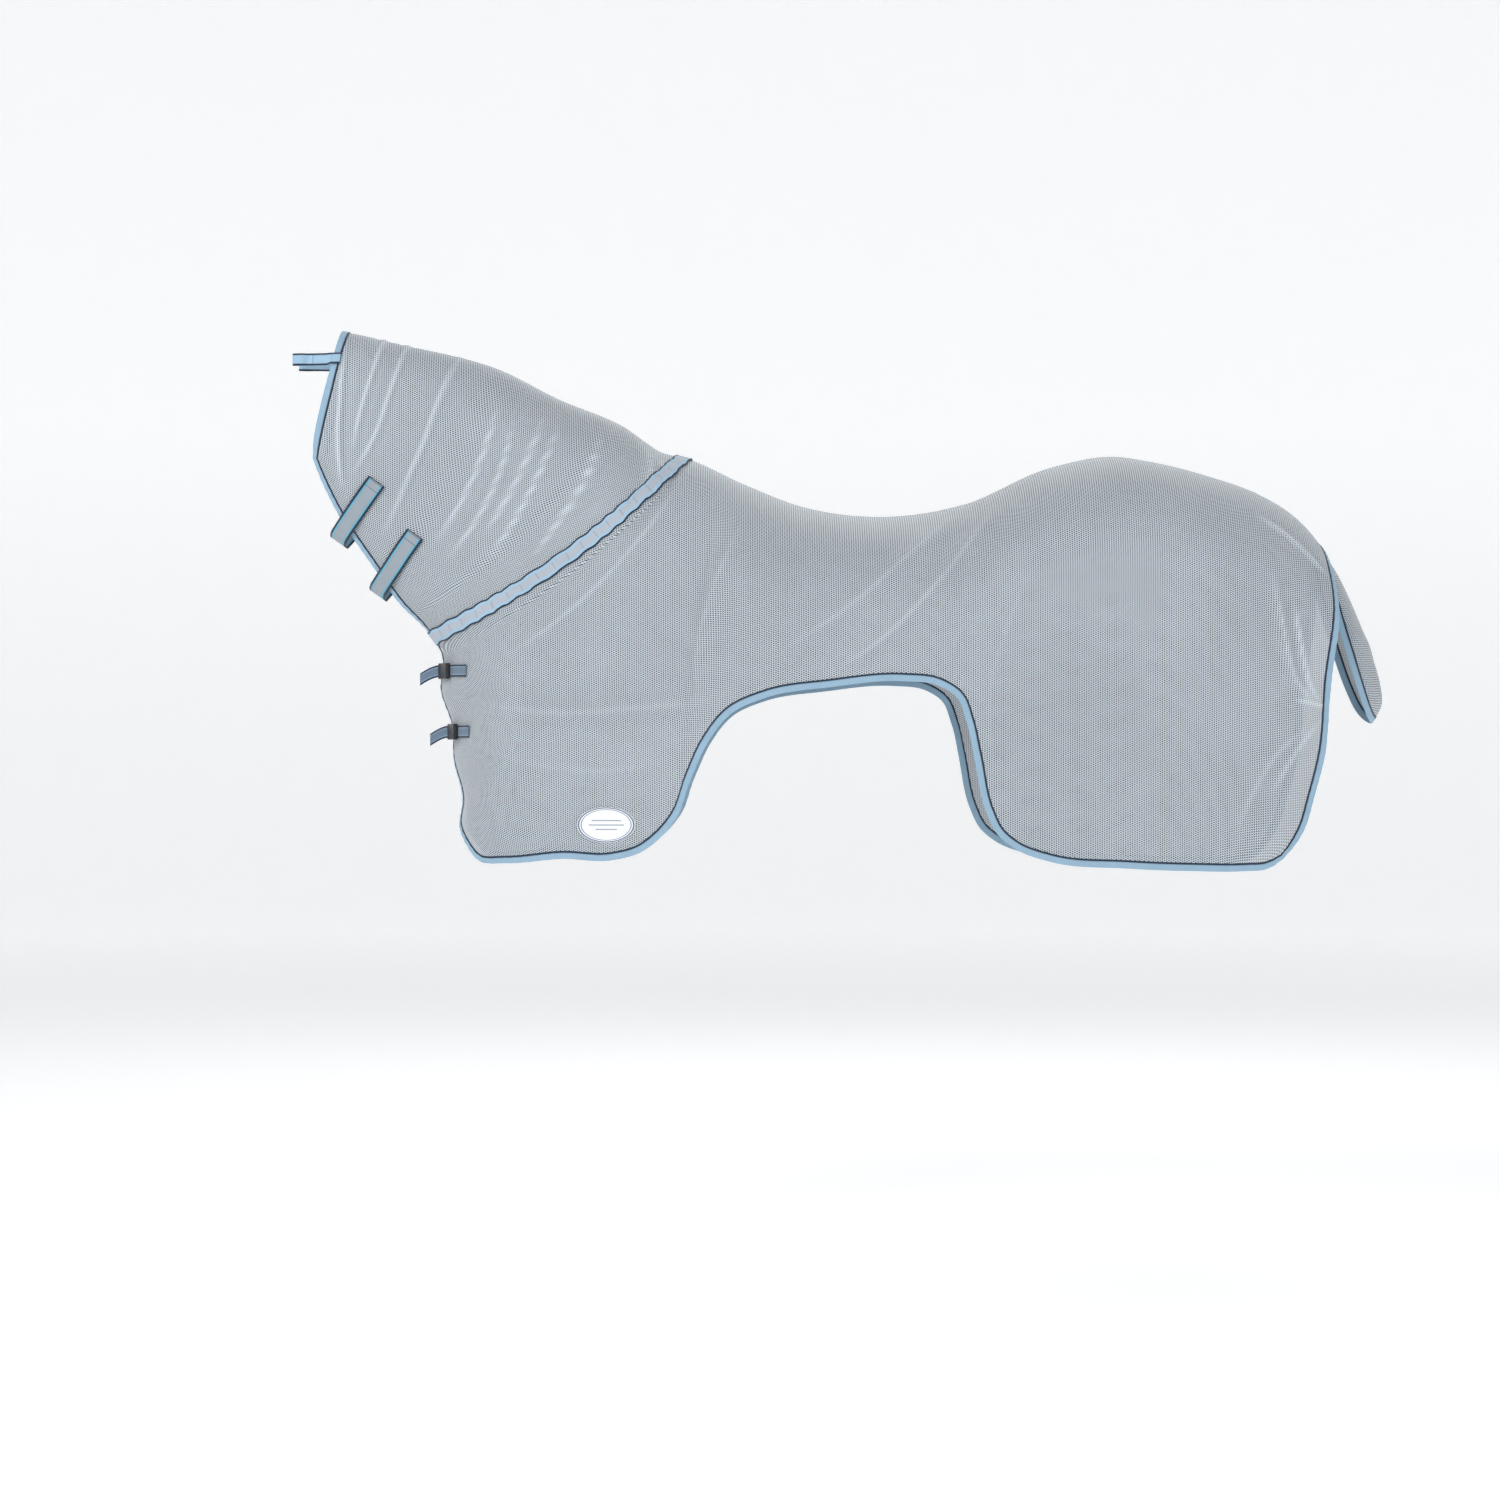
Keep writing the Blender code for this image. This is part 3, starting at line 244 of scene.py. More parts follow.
class FlySheetTrimSettings(bpy.types.PropertyGroup):
    sky: colour_setting("Tape blue", "Colour of the bindings and the wide tape", (0.30, 0.46, 0.60))
    navy: colour_setting("Tape edge", "Colour of the dark woven edges", (0.007, 0.024, 0.060))
    centre: colour_setting("Tape middle", "Colour of the wide tape's middle", (0.44, 0.49, 0.56))
    strap: colour_setting("Strap middle", "Colour of the throat straps' middle", (0.31, 0.36, 0.41))
    turquoise: colour_setting("Strap stripe", "Colour of the throat straps' stripes", (0.10, 0.42, 0.58))
    webbing: colour_setting("Chest strap", "Colour of the chest straps' middle", (0.13, 0.19, 0.27))
    touch: colour_setting("Hook and loop", "Colour of the hook and loop patches", (0.012, 0.016, 0.035))


class FlySheetHardwareSettings(bpy.types.PropertyGroup):
    plastic: colour_setting("Buckle plastic", "Colour of the chest buckles", (0.012, 0.013, 0.016))
    label: colour_setting("Label", "Colour of the woven label", (0.86, 0.88, 0.90))
    label_line: colour_setting("Label border", "Colour of the label's border lines", (0.09, 0.14, 0.24))


class FlySheetStageSettings(bpy.types.PropertyGroup):
    floor_height: bpy.props.FloatProperty(
        name="Floor height", description="Height of the floor, which is where the horse would stand",
        default=-1.62, min=-3.0, max=-0.9, unit="LENGTH")
    camera_distance: bpy.props.FloatProperty(
        name="Camera distance", description="Distance of the camera from the middle of the sheet",
        default=9.0, min=3.0, max=20.0, unit="LENGTH")
    backdrop: colour_setting("Backdrop", "Colour of the floor and the backdrop", (0.93, 0.935, 0.94))


# ---- curves and the cloth surface ----
def hermite(knots, values, slopes, at):
    """Cubic between each two knots, from their values and slopes."""
    cell = np.clip(np.searchsorted(knots, at, side="right") - 1, 0, len(knots) - 2)
    width = knots[cell + 1] - knots[cell]
    t = ((at - knots[cell]) / width)[..., None]
    width = width[..., None]
    rise = values[cell + 1] - values[cell]
    return (values[cell] + rise * t * t * (3 - 2 * t)
            + width * slopes[cell] * t * (1 - t) ** 2 - width * slopes[cell + 1] * t * t * (1 - t))


def smooth_curve(points, count):
    """Cubic through the points by chord length, read at count even steps."""
    points = np.asarray(points, dtype=float)
    chord = np.concatenate([[0.0], np.cumsum(np.linalg.norm(np.diff(points, axis=0), axis=1))])
    slope = np.gradient(points, chord, axis=0, edge_order=2 if len(points) > 2 else 1)
    return hermite(chord, points, slope, np.linspace(0, chord[-1], count))


def smooth_value(pairs, at):
    """Cubic through (position, value) pairs, read at the positions."""
    pairs = np.asarray(pairs, dtype=float)
    slope = np.gradient(pairs[:, 1], pairs[:, 0])
    return hermite(pairs[:, 0], pairs[:, 1:], slope[:, None], np.asarray(at, dtype=float))[..., 0]


def unit(vectors):
    return vectors / np.maximum(np.linalg.norm(vectors, axis=-1), 1e-12)[..., None]


def inset(points, amount):
    """Outline moved by the amount to the left of its direction of travel, where the cloth is."""
    ahead = unit(np.gradient(points, axis=0))
    return points + np.stack([-ahead[:, 1], ahead[:, 0]], axis=1) * np.reshape(amount, (-1, 1))


def evenly(points, count):
    """Points along the same line at equal distances."""
    gone = np.concatenate([[0.0], np.cumsum(np.linalg.norm(np.diff(points, axis=0), axis=1))])
    at = np.linspace(0, gone[-1], count)
    return np.stack([np.interp(at, gone, points[:, k]) for k in range(points.shape[1])], axis=1)


def trimmed_to_meet(first, second):
    """Two outlines that cross near the end of one and the start of the other, cut to their crossing."""
    a, b = first[-1] - first[-2], second[1] - second[0]
    start = second[0] - first[-1]
    corner = first[-1] + a * (start[0] * b[1] - start[1] * b[0]) / (a[0] * b[1] - a[1] * b[0])
    kept_first = np.concatenate([first[(first - corner) @ a < 0], corner[None]])
    kept_second = np.concatenate([corner[None], second[(second - corner) @ b > 0]])
    return evenly(kept_first, len(first)), evenly(kept_second, len(second))


def section(depth, length, over, under, wrap):
    """Distance down a section and share of its half width: an arc over the top, a drop, an arc inwards."""
    straight = length - over - under * np.sin(wrap)
    first, last = ROUND_STRETCH * over, under * wrap
    gone = depth * (first + straight + last)
    a = np.clip(gone / first, 0, 1) * math.pi / 2
    b = np.clip(gone - first, 0, straight)
    c = np.clip((gone - first - straight) / under, 0, wrap)
    return over * (1 - np.cos(a)) + b + under * np.sin(c), np.sin(a) * np.cos(c)


class ClothHalf:
    """Left half of the sheet as points of edge position and depth."""

    def __init__(self):
        samples = 900
        station = np.linspace(0, EDGE_END, samples)
        wrap = np.radians(np.clip(smooth_value(WRAP_DEGREES, station), 0, TURN_LIMIT))
        lower = inset(smooth_curve(LOWER_EDGE, samples), BINDING_WIDTH * np.cos(wrap))
        face = inset(smooth_curve(FACE_EDGE, 120), BINDING_WIDTH)
        rear = inset(smooth_curve(REAR_EDGE, 120)[::-1], BINDING_WIDTH)[::-1]
        face, lower = trimmed_to_meet(face, lower)
        lower[-1] = rear[-1] = (lower[-1] + rear[-1]) / 2
        self.station, self.lower, self.face, self.rear = station, lower, face, rear
        self.top = smooth_curve(TOP_LINE, 900)

    def edge(self, station):
        return np.stack([np.interp(station, self.station, self.lower[:, k]) for k in (0, 1)], axis=-1)

    def end_shift(self, station, share):
        """Bends the first and last sections to the face edge and to the rear edge."""
        shift = 0.0
        for curve, near in ((self.face, 1 - station / 0.30), (self.rear, 1 - (EDGE_END - station) / 0.45)):
            at = np.linspace(0, 1, len(curve))
            chord = curve[0] + (curve[-1] - curve[0]) * share[..., None]
            bent = np.stack([np.interp(share, at, curve[:, k]) for k in (0, 1)], axis=-1)
            shift = shift + (np.clip(near, 0, 1) ** 2)[..., None] * (bent - chord)
        return shift

    def point(self, station, depth):
        """From the top line towards the lower edge by the section's reach, out by its share of the width."""
        station, depth = np.broadcast_arrays(np.asarray(station, float), np.asarray(depth, float))
        rib = smooth_value(RIB_TOPS, station)
        rib = np.where(rib < 0, rib * self.face[0, 0] / RIB_TOPS[0][1],
                       rib * self.rear[0, 0] / RIB_TOPS[-1][1])
        top = np.stack([rib, np.interp(rib, self.top[:, 0], self.top[:, 1])], axis=-1)
        along = self.edge(station) - top
        length = np.linalg.norm(along, axis=-1)
        wrap = np.radians(np.clip(smooth_value(WRAP_DEGREES, station), 0, TURN_LIMIT))
        over = np.minimum(smooth_value(TOP_ROUNDS, station), 0.75 * length)
        reach, width = section(depth, length, over, smooth_value(LOW_ROUNDS, station), wrap)
        blend = depth * depth * (3 - 2 * depth)
        half = smooth_value(HALF_WIDTHS, station) * (1 - blend) + smooth_value(LOW_WIDTHS, station) * blend
        share = reach / length
        side = top + along * share[..., None]
        drop = 4 * share * (1 - share) * smooth_value(SAGS, station)
        side = side + drop[..., None] * np.stack([-along[..., 1], along[..., 0]], -1) / length[..., None]
        side = side + self.end_shift(station, share)
        return np.stack([side[..., 0], -(SEAM_HALF_GAP + half * width), side[..., 1]], axis=-1)

    def normal(self, station, depth):
        """Outward unit normal from small steps along the surface."""
        step = 0.002
        s0, s1 = np.clip(station - step, 0, EDGE_END), np.clip(station + step, 0, EDGE_END)
        d0, d1 = np.clip(depth - step, 0, 1), np.clip(depth + step, 0, 1)
        return unit(np.cross(self.point(station, d1) - self.point(station, d0),
                             self.point(s1, depth) - self.point(s0, depth)))


HALF = ClothHalf()
LOOKUP_STATION, LOOKUP_DEPTH = np.meshgrid(np.linspace(0, EDGE_END, 900), np.linspace(0, 1, 260),
                                           indexing="ij")
LOOKUP = HALF.point(LOOKUP_STATION, LOOKUP_DEPTH)
LOOKUP_NORMAL = HALF.normal(LOOKUP_STATION, LOOKUP_DEPTH)


def laid_on(flat, axis, lift):
    """Points given in two coordinates, put on the cloth along the third axis and lifted off it."""
    keep = [k for k in (0, 1, 2) if k != axis]
    flat = np.asarray(flat, dtype=float)
    usable = np.abs(LOOKUP_NORMAL[..., axis]) > 0.25
    if axis == 0:
        usable &= LOOKUP[..., 0] < 0
    base, normals = LOOKUP[usable], LOOKUP_NORMAL[usable]
    wanted = flat.reshape(-1, 2)
    nearest = np.concatenate([np.argmin(((base[None][..., keep] - part[:, None]) ** 2).sum(axis=2), axis=1)
                              for part in np.array_split(wanted, max(1, len(wanted) // 40))])
    origin, normal = base[nearest], normals[nearest]
    point = np.empty((len(wanted), 3))
    point[:, keep] = wanted
    along = ((wanted - origin[:, keep]) * normal[:, keep]).sum(axis=1)
    point[:, axis] = origin[:, axis] - along / normal[:, axis]
    point += normal * np.broadcast_to(lift, flat.shape[:-1]).reshape(-1, 1)
    return point.reshape(flat.shape[:-1] + (3,))


def fold_lift(points, share):
    """Sum over the fold lines of height times a bell curve of side-view distance, faded at their ends.

    The second result is 1 on a fold's crest and falls to 0 within a few millimetres of it.
    """
    flat = points[..., [0, 2]].reshape(-1, 2)
    total, close = np.zeros(len(flat)), np.zeros(len(flat))
    for _, line, height, half_width in FOLDS:
        path = smooth_curve(line, 24)
        centre, reach = path.mean(axis=0), np.ptp(path, axis=0).max() / 2 + 4 * half_width
        near = np.nonzero(np.abs(flat - centre).max(axis=1) < reach)[0]
        if not len(near):
            continue
        start, step = path[:-1], np.diff(path, axis=0)
        offset = flat[near][:, None] - start[None]
        t = np.clip((offset * step).sum(axis=2) / (step * step).sum(axis=1), 0, 1)
        distance = np.linalg.norm(offset - t[..., None] * step, axis=2)
        best = distance.argmin(axis=1)
        rows = np.arange(len(near))
        gone = (best + t[rows, best]) / len(start)
        fade = np.clip(gone / 0.25, 0, 1) * np.clip((1 - gone) / 0.2, 0, 1)
        gap = distance[rows, best] / half_width
        total[near] += height * fade * (np.exp(-gap ** 2) - 0.35 * np.exp(-(gap - 1.9) ** 2))
        tight = min(1.0, (0.010 / half_width) ** 2)
        close[near] = np.maximum(close[near], tight * fade * np.exp(-(gap * half_width / 0.0045) ** 2))
    return (total * share).reshape(points.shape[:-1]), close.reshape(points.shape[:-1])


def slow_waves(points):
    """Low uneven waves of the hanging cloth, from sines of the side-view place that grow towards the hem."""
    x, z = points[..., 0], points[..., 2]
    grow = np.clip((-z - 0.1) / 0.6, 0, 1)
    rear = np.clip((x - 0.55) / 0.3, 0, 1)
    return grow * (0.0022 * np.sin(23 * x + 3.1 * z + 1.7 * np.sin(5 * z)) + 0.0012 * np.sin(41 * x - 9 * z)
                   + 0.0016 * rear * np.sin(17 * x + 2.0 + 4 * z))


def grid_normals(grid):
    return unit(np.cross(np.gradient(grid, axis=1), np.gradient(grid, axis=0)))


def cloth_grid(start, end, columns, rows, share):
    """Folded left panel between two edge positions: points, pattern coordinates and nearness to a fold."""
    station = np.linspace(start, end, columns + 1)[:, None]
    depth = np.linspace(0, 1, rows + 1)[None, :]
    grid = HALF.point(station, depth)
    normals = grid_normals(grid)
    calm = np.clip((1 - depth) / 0.02, 0, 1)
    ends = np.clip((station - start) / 0.012, 0, 1) * np.clip((end - station) / 0.012, 0, 1)
    waves = slow_waves(grid) * np.clip(depth / 0.2, 0, 1)
    lift, close = fold_lift(grid, share)
    moved = grid + normals * (lift * calm * ends + waves)[..., None]
    step = np.diff(grid, axis=1)
    facing = (normals[:, 1:, 0] ** 2) / (normals[:, 1:, 0] ** 2 + normals[:, 1:, 2] ** 2 + 1e-6)
    facing = facing * np.clip(-grid[:, 1:, 0] / 0.25, 0, 1)
    du = step[..., 0] - np.abs(step[..., 1]) * facing
    dv = np.sqrt(step[..., 2] ** 2 + step[..., 1] ** 2 * (1 - facing))
    u = grid[:, :1, 0] + np.concatenate([np.zeros((len(grid), 1)), du.cumsum(axis=1)], axis=1)
    v = -grid[:, :1, 2] + np.concatenate([np.zeros((len(grid), 1)), dv.cumsum(axis=1)], axis=1)
    return moved, np.stack([u, v], axis=-1), close * calm


def sided(grid, side):
    """Left half's points, or the right half's when side is +1."""
    grid = np.array(grid)
    if side > 0:
        grid[..., 1] *= -1
    return grid


# ---- meshes ----
def mesh_object(name, points, quads, uv, material, flip=False):
    """Mesh from points, quads of point numbers and a pattern coordinate for each point."""
    quads = quads[:, ::-1] if flip else quads
    mesh = bpy.data.meshes.new(name)
    mesh.vertices.add(len(points))
    mesh.vertices.foreach_set("co", np.ascontiguousarray(points, dtype=np.float32).ravel())
    mesh.loops.add(quads.size)
    mesh.loops.foreach_set("vertex_index", np.ascontiguousarray(quads, dtype=np.int32).ravel())
    mesh.polygons.add(len(quads))
    mesh.polygons.foreach_set("loop_start", np.arange(0, quads.size, 4, dtype=np.int32))
    mesh.polygons.foreach_set("use_smooth", np.ones(len(quads), dtype=bool))
    mesh.update(calc_edges=True)
    layer = mesh.uv_layers.new(name="pattern")
    layer.data.foreach_set("uv", np.ascontiguousarray(uv[quads.ravel()], dtype=np.float32).ravel())
    mesh.validate()
    made = bpy.data.objects.new(name, mesh)
    bpy.context.scene.collection.objects.link(made)
    mesh.materials.append(material)
    return made


def grid_quads(rows, columns, around=False):
    index = np.arange(rows * columns).reshape(rows, columns)
    if around:
        index = np.concatenate([index, index[:, :1]], axis=1)
    return np.stack([index[:-1, :-1], index[1:, :-1], index[1:, 1:], index[:-1, 1:]], axis=-1).reshape(-1, 4)


def surface(name, grid, uv, material, flip=False, thickness=0.0):
    """A grid of points as an open surface, or as a thin body under it when a thickness is given."""
    made = mesh_object(name, grid.reshape(-1, 3), grid_quads(*grid.shape[:2]), uv.reshape(-1, 2), material,
                       flip)
    if thickness:
        solid = made.modifiers.new("thickness", "SOLIDIFY")
        solid.thickness = thickness
        solid.offset = -1
    return made


def close_doubles(made):
    """Merges points that coincide, at a pole or a seam."""
    edited = bmesh.new()
    edited.from_mesh(made.data)
    bmesh.ops.remove_doubles(edited, verts=edited.verts, dist=1e-6)
    edited.to_mesh(made.data)
    edited.free()


def along_lengths(line):
    return np.concatenate([[0.0], np.cumsum(np.linalg.norm(np.diff(line, axis=0), axis=1))])


def pattern_across_along(across, along):
    """Pattern coordinates of a grid from the place across it and the distance along it."""
    return np.stack(np.broadcast_arrays(across[None], along[:, None]), axis=-1)


def placed(made, node, body):
    """Hides the solid that a piece stands for and attaches the piece to the body it moves with."""
    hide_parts(node)
    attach(made, body)


def carried(name, profile, points, normals, away, material, flip=False):
    """Closed profile of (away, out) pairs carried along a line, with its two ends filled in."""
    count, ring = len(points), len(profile)
    body = points[:, None] + away[:, None] * profile[None, :, :1] + normals[:, None] * profile[None, :, 1:]
    uv = pattern_across_along(profile[:, 0], along_lengths(points))
    quads = grid_quads(count, ring, around=True)
    half = ring // 2
    low = np.arange(half - 1)
    cap = np.stack([low, low + 1, ring - 2 - low, ring - 1 - low], axis=-1)
    caps = np.concatenate([cap, (cap + (count - 1) * ring)[:, ::-1]])
    return mesh_object(name, body.reshape(-1, 3), np.concatenate([quads, caps]), uv.reshape(-1, 2), material,
                       flip)


def folded_profile(inner, outer, half_thickness):
    """Flat tape folded over an edge: two parallel faces joined by a half circle at the outer end."""
    turn = np.linspace(math.pi / 2, -math.pi / 2, 9)
    bend = np.stack([outer - half_thickness + half_thickness * np.cos(turn),
                     half_thickness * np.sin(turn)], axis=1)
    across = np.linspace(inner, outer - half_thickness, 8)[:-1]
    top = np.stack([across, np.full(7, half_thickness)], axis=1)
    top[0, 1] *= 0.35
    low = top[::-1] * [1, -1]
    whole = np.concatenate([top, bend, low])
    return whole[:-1] if len(whole) % 2 else whole


def binding_profile():
    return folded_profile(-BINDING_INNER, BINDING_WIDTH, BINDING_HALF_THICKNESS)


def smooth_along(values, times):
    """Mean of each value and its two neighbours along a line, taken several times with the ends kept."""
    for _ in range(times):
        values = np.concatenate([values[:1], (values[:-2] + 2 * values[1:-1] + values[2:]) / 4, values[-1:]])
    return values


def edge_frame(line, inner, smoothing=14):
    """Normals and away directions of a free edge, from the cloth just inside it."""
    ahead = unit(smooth_along(np.gradient(line, axis=0), 3))
    out = unit(smooth_along(unit(line - inner), smoothing))
    away = unit(out - ahead * (out * ahead).sum(axis=1)[:, None])
    return np.cross(away, ahead), away


def respaced(step, *lines):
    """Lines read again at even distances along the first one."""
    gone = along_lengths(lines[0])
    at = np.linspace(0, gone[-1], max(8, int(gone[-1] / step)))
    return [np.stack([np.interp(at, gone, line[:, k]) for k in range(3)], axis=1) for line in lines]


# ---- shader helpers ----
class Value:
    """A socket or a number that takes part in arithmetic and adds its Math nodes."""

    def __init__(self, tree, socket):
        self.tree, self.socket = tree, socket

    def _math(self, operation, *others):
        return self.tree.node("ShaderNodeMath", {"operation": operation}, [self, *others])

    def __add__(self, other):
        return self._math("ADD", other)

    def __sub__(self, other):
        return self._math("SUBTRACT", other)

    def __rsub__(self, other):
        return self.tree.node("ShaderNodeMath", {"operation": "SUBTRACT"}, [other, self])

    def __mul__(self, other):
        return self._math("MULTIPLY", other)

    def __truediv__(self, other):
        return self._math("DIVIDE", other)

    def __lt__(self, other):
        return self._math("LESS_THAN", other)

    def __gt__(self, other):
        return self._math("GREATER_THAN", other)

    def __abs__(self):
        return self._math("ABSOLUTE")

    def root(self):
        return self._math("SQRT")

    def sine(self):
        return self._math("SINE")

    def fraction(self):
        return self._math("FRACT")

    def least(self, other):
        return self._math("MINIMUM", other)

    def ramp(self, low, high, low_value=0.0, high_value=1.0):
        """Smooth step from one value to another between two limits."""
        return self.tree.node("ShaderNodeMapRange", {"interpolation_type": "SMOOTHSTEP"},
                              [self, low, high, low_value, high_value])


class Shader:
    """Node tree of one material, with its Principled shader and the piece's own pattern coordinates."""

    def __init__(self, name, roughness=0.8, **constants):
        self.material = bpy.data.materials.new(name)
        self.material.use_nodes = True
        self.nodes = self.material.node_tree.nodes
        self.links = self.material.node_tree.links
        self.principled = self.nodes["Principled BSDF"]
        self.principled.inputs["Roughness"].default_value = roughness
        for socket, value in constants.items():
            self.principled.inputs[socket.replace("_", " ")].default_value = value

    def node(self, kind, settings=None, sockets=(), output=0):
        made = self.nodes.new(kind)
        for setting, value in (settings or {}).items():
            setattr(made, setting, value)
        pairs = sockets.items() if isinstance(sockets, dict) else enumerate(sockets)
        for key, value in pairs:
            if isinstance(value, Value):
                self.links.new(value.socket, made.inputs[key])
            elif value is not None:
                made.inputs[key].default_value = value
        return Value(self, made.outputs[output])

    def pattern(self):
        """Pattern coordinates in metres: across or forward first, then along or down."""
        uv = self.node("ShaderNodeUVMap", {"uv_map": "pattern"})
        split = self.node("ShaderNodeSeparateXYZ", {}, [uv])
        return split, Value(self, split.socket.node.outputs[1])

    def place(self):
        return self.node("ShaderNodeTexCoord", output="Object")

    def noise(self, scale, detail=3.0):
        return self.node("ShaderNodeTexNoise", {}, {"Vector": self.place(), "Scale": scale,
                                                    "Detail": detail, "Roughness": 0.55})

    def mix(self, share, first, second):
        """Colour between the first and the second by the share."""
        colours = [value if isinstance(value, Value) else (*value, 1.0)[:4] for value in (first, second)]
        return self.node("ShaderNodeMix", {"data_type": "RGBA"}, {0: share, 6: colours[0], 7: colours[1]}, 2)

    def feed(self, **values):
        for socket, value in values.items():
            self.links.new(value.socket, self.principled.inputs[socket.replace("_", " ")])
        return self

    def bump(self, height, strength, distance):
        """Relief from a height, in metres of distance for a height of one."""
        return self.node("ShaderNodeBump", {}, {"Strength": strength, "Distance": distance, "Height": height})


def darker(colour, share):
    return tuple(channel * share for channel in colour)


def mesh_cloth_material(settings):
    """Open knit: oval holes on a staggered lattice, rounded yarn between them and slow shade changes.

    The distance from a hole's middle, in hole radii, is the smaller of two lattices half a step apart.
    On the crest of a fold the holes shrink and the yarn is painted lighter, as a painted highlight along the
    fold.
    """
    shader = Shader("mesh_cloth", roughness=0.6, Sheen_Weight=0.35, Sheen_Roughness=0.4)
    u, v = shader.pattern()
    crest = shader.node("ShaderNodeAttribute", {"attribute_name": "fold"}, output=2)
    wide, tall = settings.hole_spacing, settings.row_spacing
    half_wide, half_tall = 0.197 * wide, 0.322 * tall

    def ring(shift):
        a = abs((u / wide + shift).fraction() - 0.5) * (wide / half_wide)
        b = abs((v / tall + shift).fraction() - 0.5) * (tall / half_tall)
        return (a * a + b * b).root()

    distance = ring(100.0).least(ring(100.5)) + crest * 0.34
    cloth = distance.ramp(0.84, 1.16)
    rim = distance.ramp(0.9, 1.9)
    threads = (v * (2 * math.pi / 0.0011)).sine() * 0.5 + 0.5
    shade = shader.noise(2.6, 2.0).ramp(0.3, 0.7)
    wear = shader.noise(14.0, 4.0).ramp(0.35, 0.75)
    # Painted shade: the yarn is darker next to each hole, where it rounds down into it.
    yarn = shader.mix(rim, darker(settings.mesh_colour, 0.72), settings.mesh_colour)
    yarn = shader.mix(shade * 0.2 + wear * 0.08, yarn, darker(settings.mesh_colour, 1.2))
    # Painted highlight: the yarn is lighter on the crests of the folds.
    yarn = shader.mix(crest * 0.22, yarn, darker(settings.mesh_colour, 1.2))
    # Painted shade: the holes are filled with a dark colour, 72 per cent opaque by default, for the shade
    # inside the knit and a dark coat behind it.
    colour = shader.mix(cloth, settings.hole_shade, yarn)
    height = rim * 0.75 + threads * 0.25
    shader.feed(Base_Color=colour, Alpha=cloth * (1.0 - settings.hole_cover) + settings.hole_cover,
                Normal=shader.bump(height, 0.5, 0.0006))
    return shader.material


def tape_material(name, half_width, bands, middle, weave=0.0009, one_sided=False, stitches=(),
                  end_tone=None, creases=False):
    """Woven tape: bands of colour in from its edges, a twill weave, rows of stitches and slow fading."""
    shader = Shader(name, roughness=0.72, Sheen_Weight=0.15, Sheen_Roughness=0.5)
    u, v = shader.pattern()
    inward = u + half_width if one_sided else half_width - abs(u)
    fading = shader.noise(38.0, 4.0).ramp(0.25, 0.75)
    colour = shader.mix(fading * 0.28, middle, darker(middle, 1.22))
    if creases:
        drift = v + shader.noise(9.0, 1.0) * 0.03 + u * 0.15
        pleat = abs((drift / 0.037).fraction() - 0.5).ramp(0.02, 0.055, 1.0, 0.0)
        # Painted shade: the tape is darker along each crease.
        colour = shader.mix(pleat * 0.45, colour, darker(middle, 0.55))
    for limit, shade in reversed(bands):
        colour = shader.mix(inward.ramp(limit - 0.0003, limit + 0.0003, 1.0, 0.0), colour, shade)
    twill = ((u + v) * (2 * math.pi / weave)).sine() * ((u - v) * (2 * math.pi / (weave * 2.3))).sine()
    ribs = (v * (2 * math.pi / (weave * 0.8))).sine()
    height = twill * 0.3 + ribs * 0.2
    if creases:
        height = height - pleat * 1.5
    for offset, tone in stitches:
        line = abs(inward - offset).ramp(0.00035, 0.0006, 1.0, 0.0)
        dash = ((v / 0.0034).fraction() < 0.7) * line
        colour = shader.mix(dash, colour, tone)
        height = height + dash * 0.9 - line * 0.5
    if end_tone:
        for offset in (0.004, 0.0195):
            line = abs(v - offset).ramp(0.0004, 0.0007, 1.0, 0.0) * (inward > 0.004)
            colour = shader.mix(line, colour, end_tone)
            height = height - line * 0.5
        colour = shader.mix(v.ramp(0.0016, 0.0022, 1.0, 0.0), colour, bands[0][1])
    colour = shader.mix((twill * 0.5 + 0.5) * 0.16, colour, (0.0, 0.0, 0.0))
    shader.feed(Base_Color=colour, Normal=shader.bump(height, 0.45, 0.0005))
    return shader.material


def touch_material(settings):
    """Hook and loop tape: a field of tiny tufts."""
    shader = Shader("touch_tape", roughness=0.95, Sheen_Weight=0.4)
    u, v = shader.pattern()
    tufts = (u * (2 * math.pi / 0.0016)).sine() * (v * (2 * math.pi / 0.0016)).sine()
    fuzz = shader.noise(900.0, 2.0)
    # The tops of the tufts are painted lighter, a painted highlight; the fuzz adds random lighter fibres.
    colour = shader.mix(fuzz * 0.6 + tufts * 0.2, settings.touch, darker(settings.touch, 3.2))
    shader.feed(Base_Color=colour, Normal=shader.bump(tufts * 0.5 + fuzz, 0.7, 0.0006))
    return shader.material


def label_material(settings):
    """White woven patch with two border lines. The pattern coordinate is the share of the way to the rim."""
    shader = Shader("woven_label", roughness=0.55, Sheen_Weight=0.1)
    ring = shader.pattern()[0]
    colour = shader.mix(shader.noise(60.0, 3.0) * 0.12, settings.label, darker(settings.label, 0.72))
    for place, half in ((0.945, 0.026), (0.855, 0.016)):
        border = abs(ring - place).ramp(half * 0.8, half * 1.2, 1.0, 0.0)
        colour = shader.mix(border, colour, settings.label_line)
    where = shader.node("ShaderNodeSeparateXYZ", {}, [shader.place()])
    height = Value(shader, where.socket.node.outputs[2])
    across = abs(where - LABEL_CENTRE[0])
    for offset, reach in ((0.009, 0.030), (0.0, 0.036), (-0.009, 0.022)):
        bar = abs(height - (LABEL_CENTRE[1] + offset)).ramp(0.0010, 0.0014, 1.0, 0.0) * (across < reach)
        colour = shader.mix(bar * 0.7, colour, settings.label_line)
    weave = (height * (2 * math.pi / 0.0009)).sine() * (where * (2 * math.pi / 0.0009)).sine()
    shader.feed(Base_Color=colour, Normal=shader.bump(weave, 0.25, 0.0003))
    return shader.material


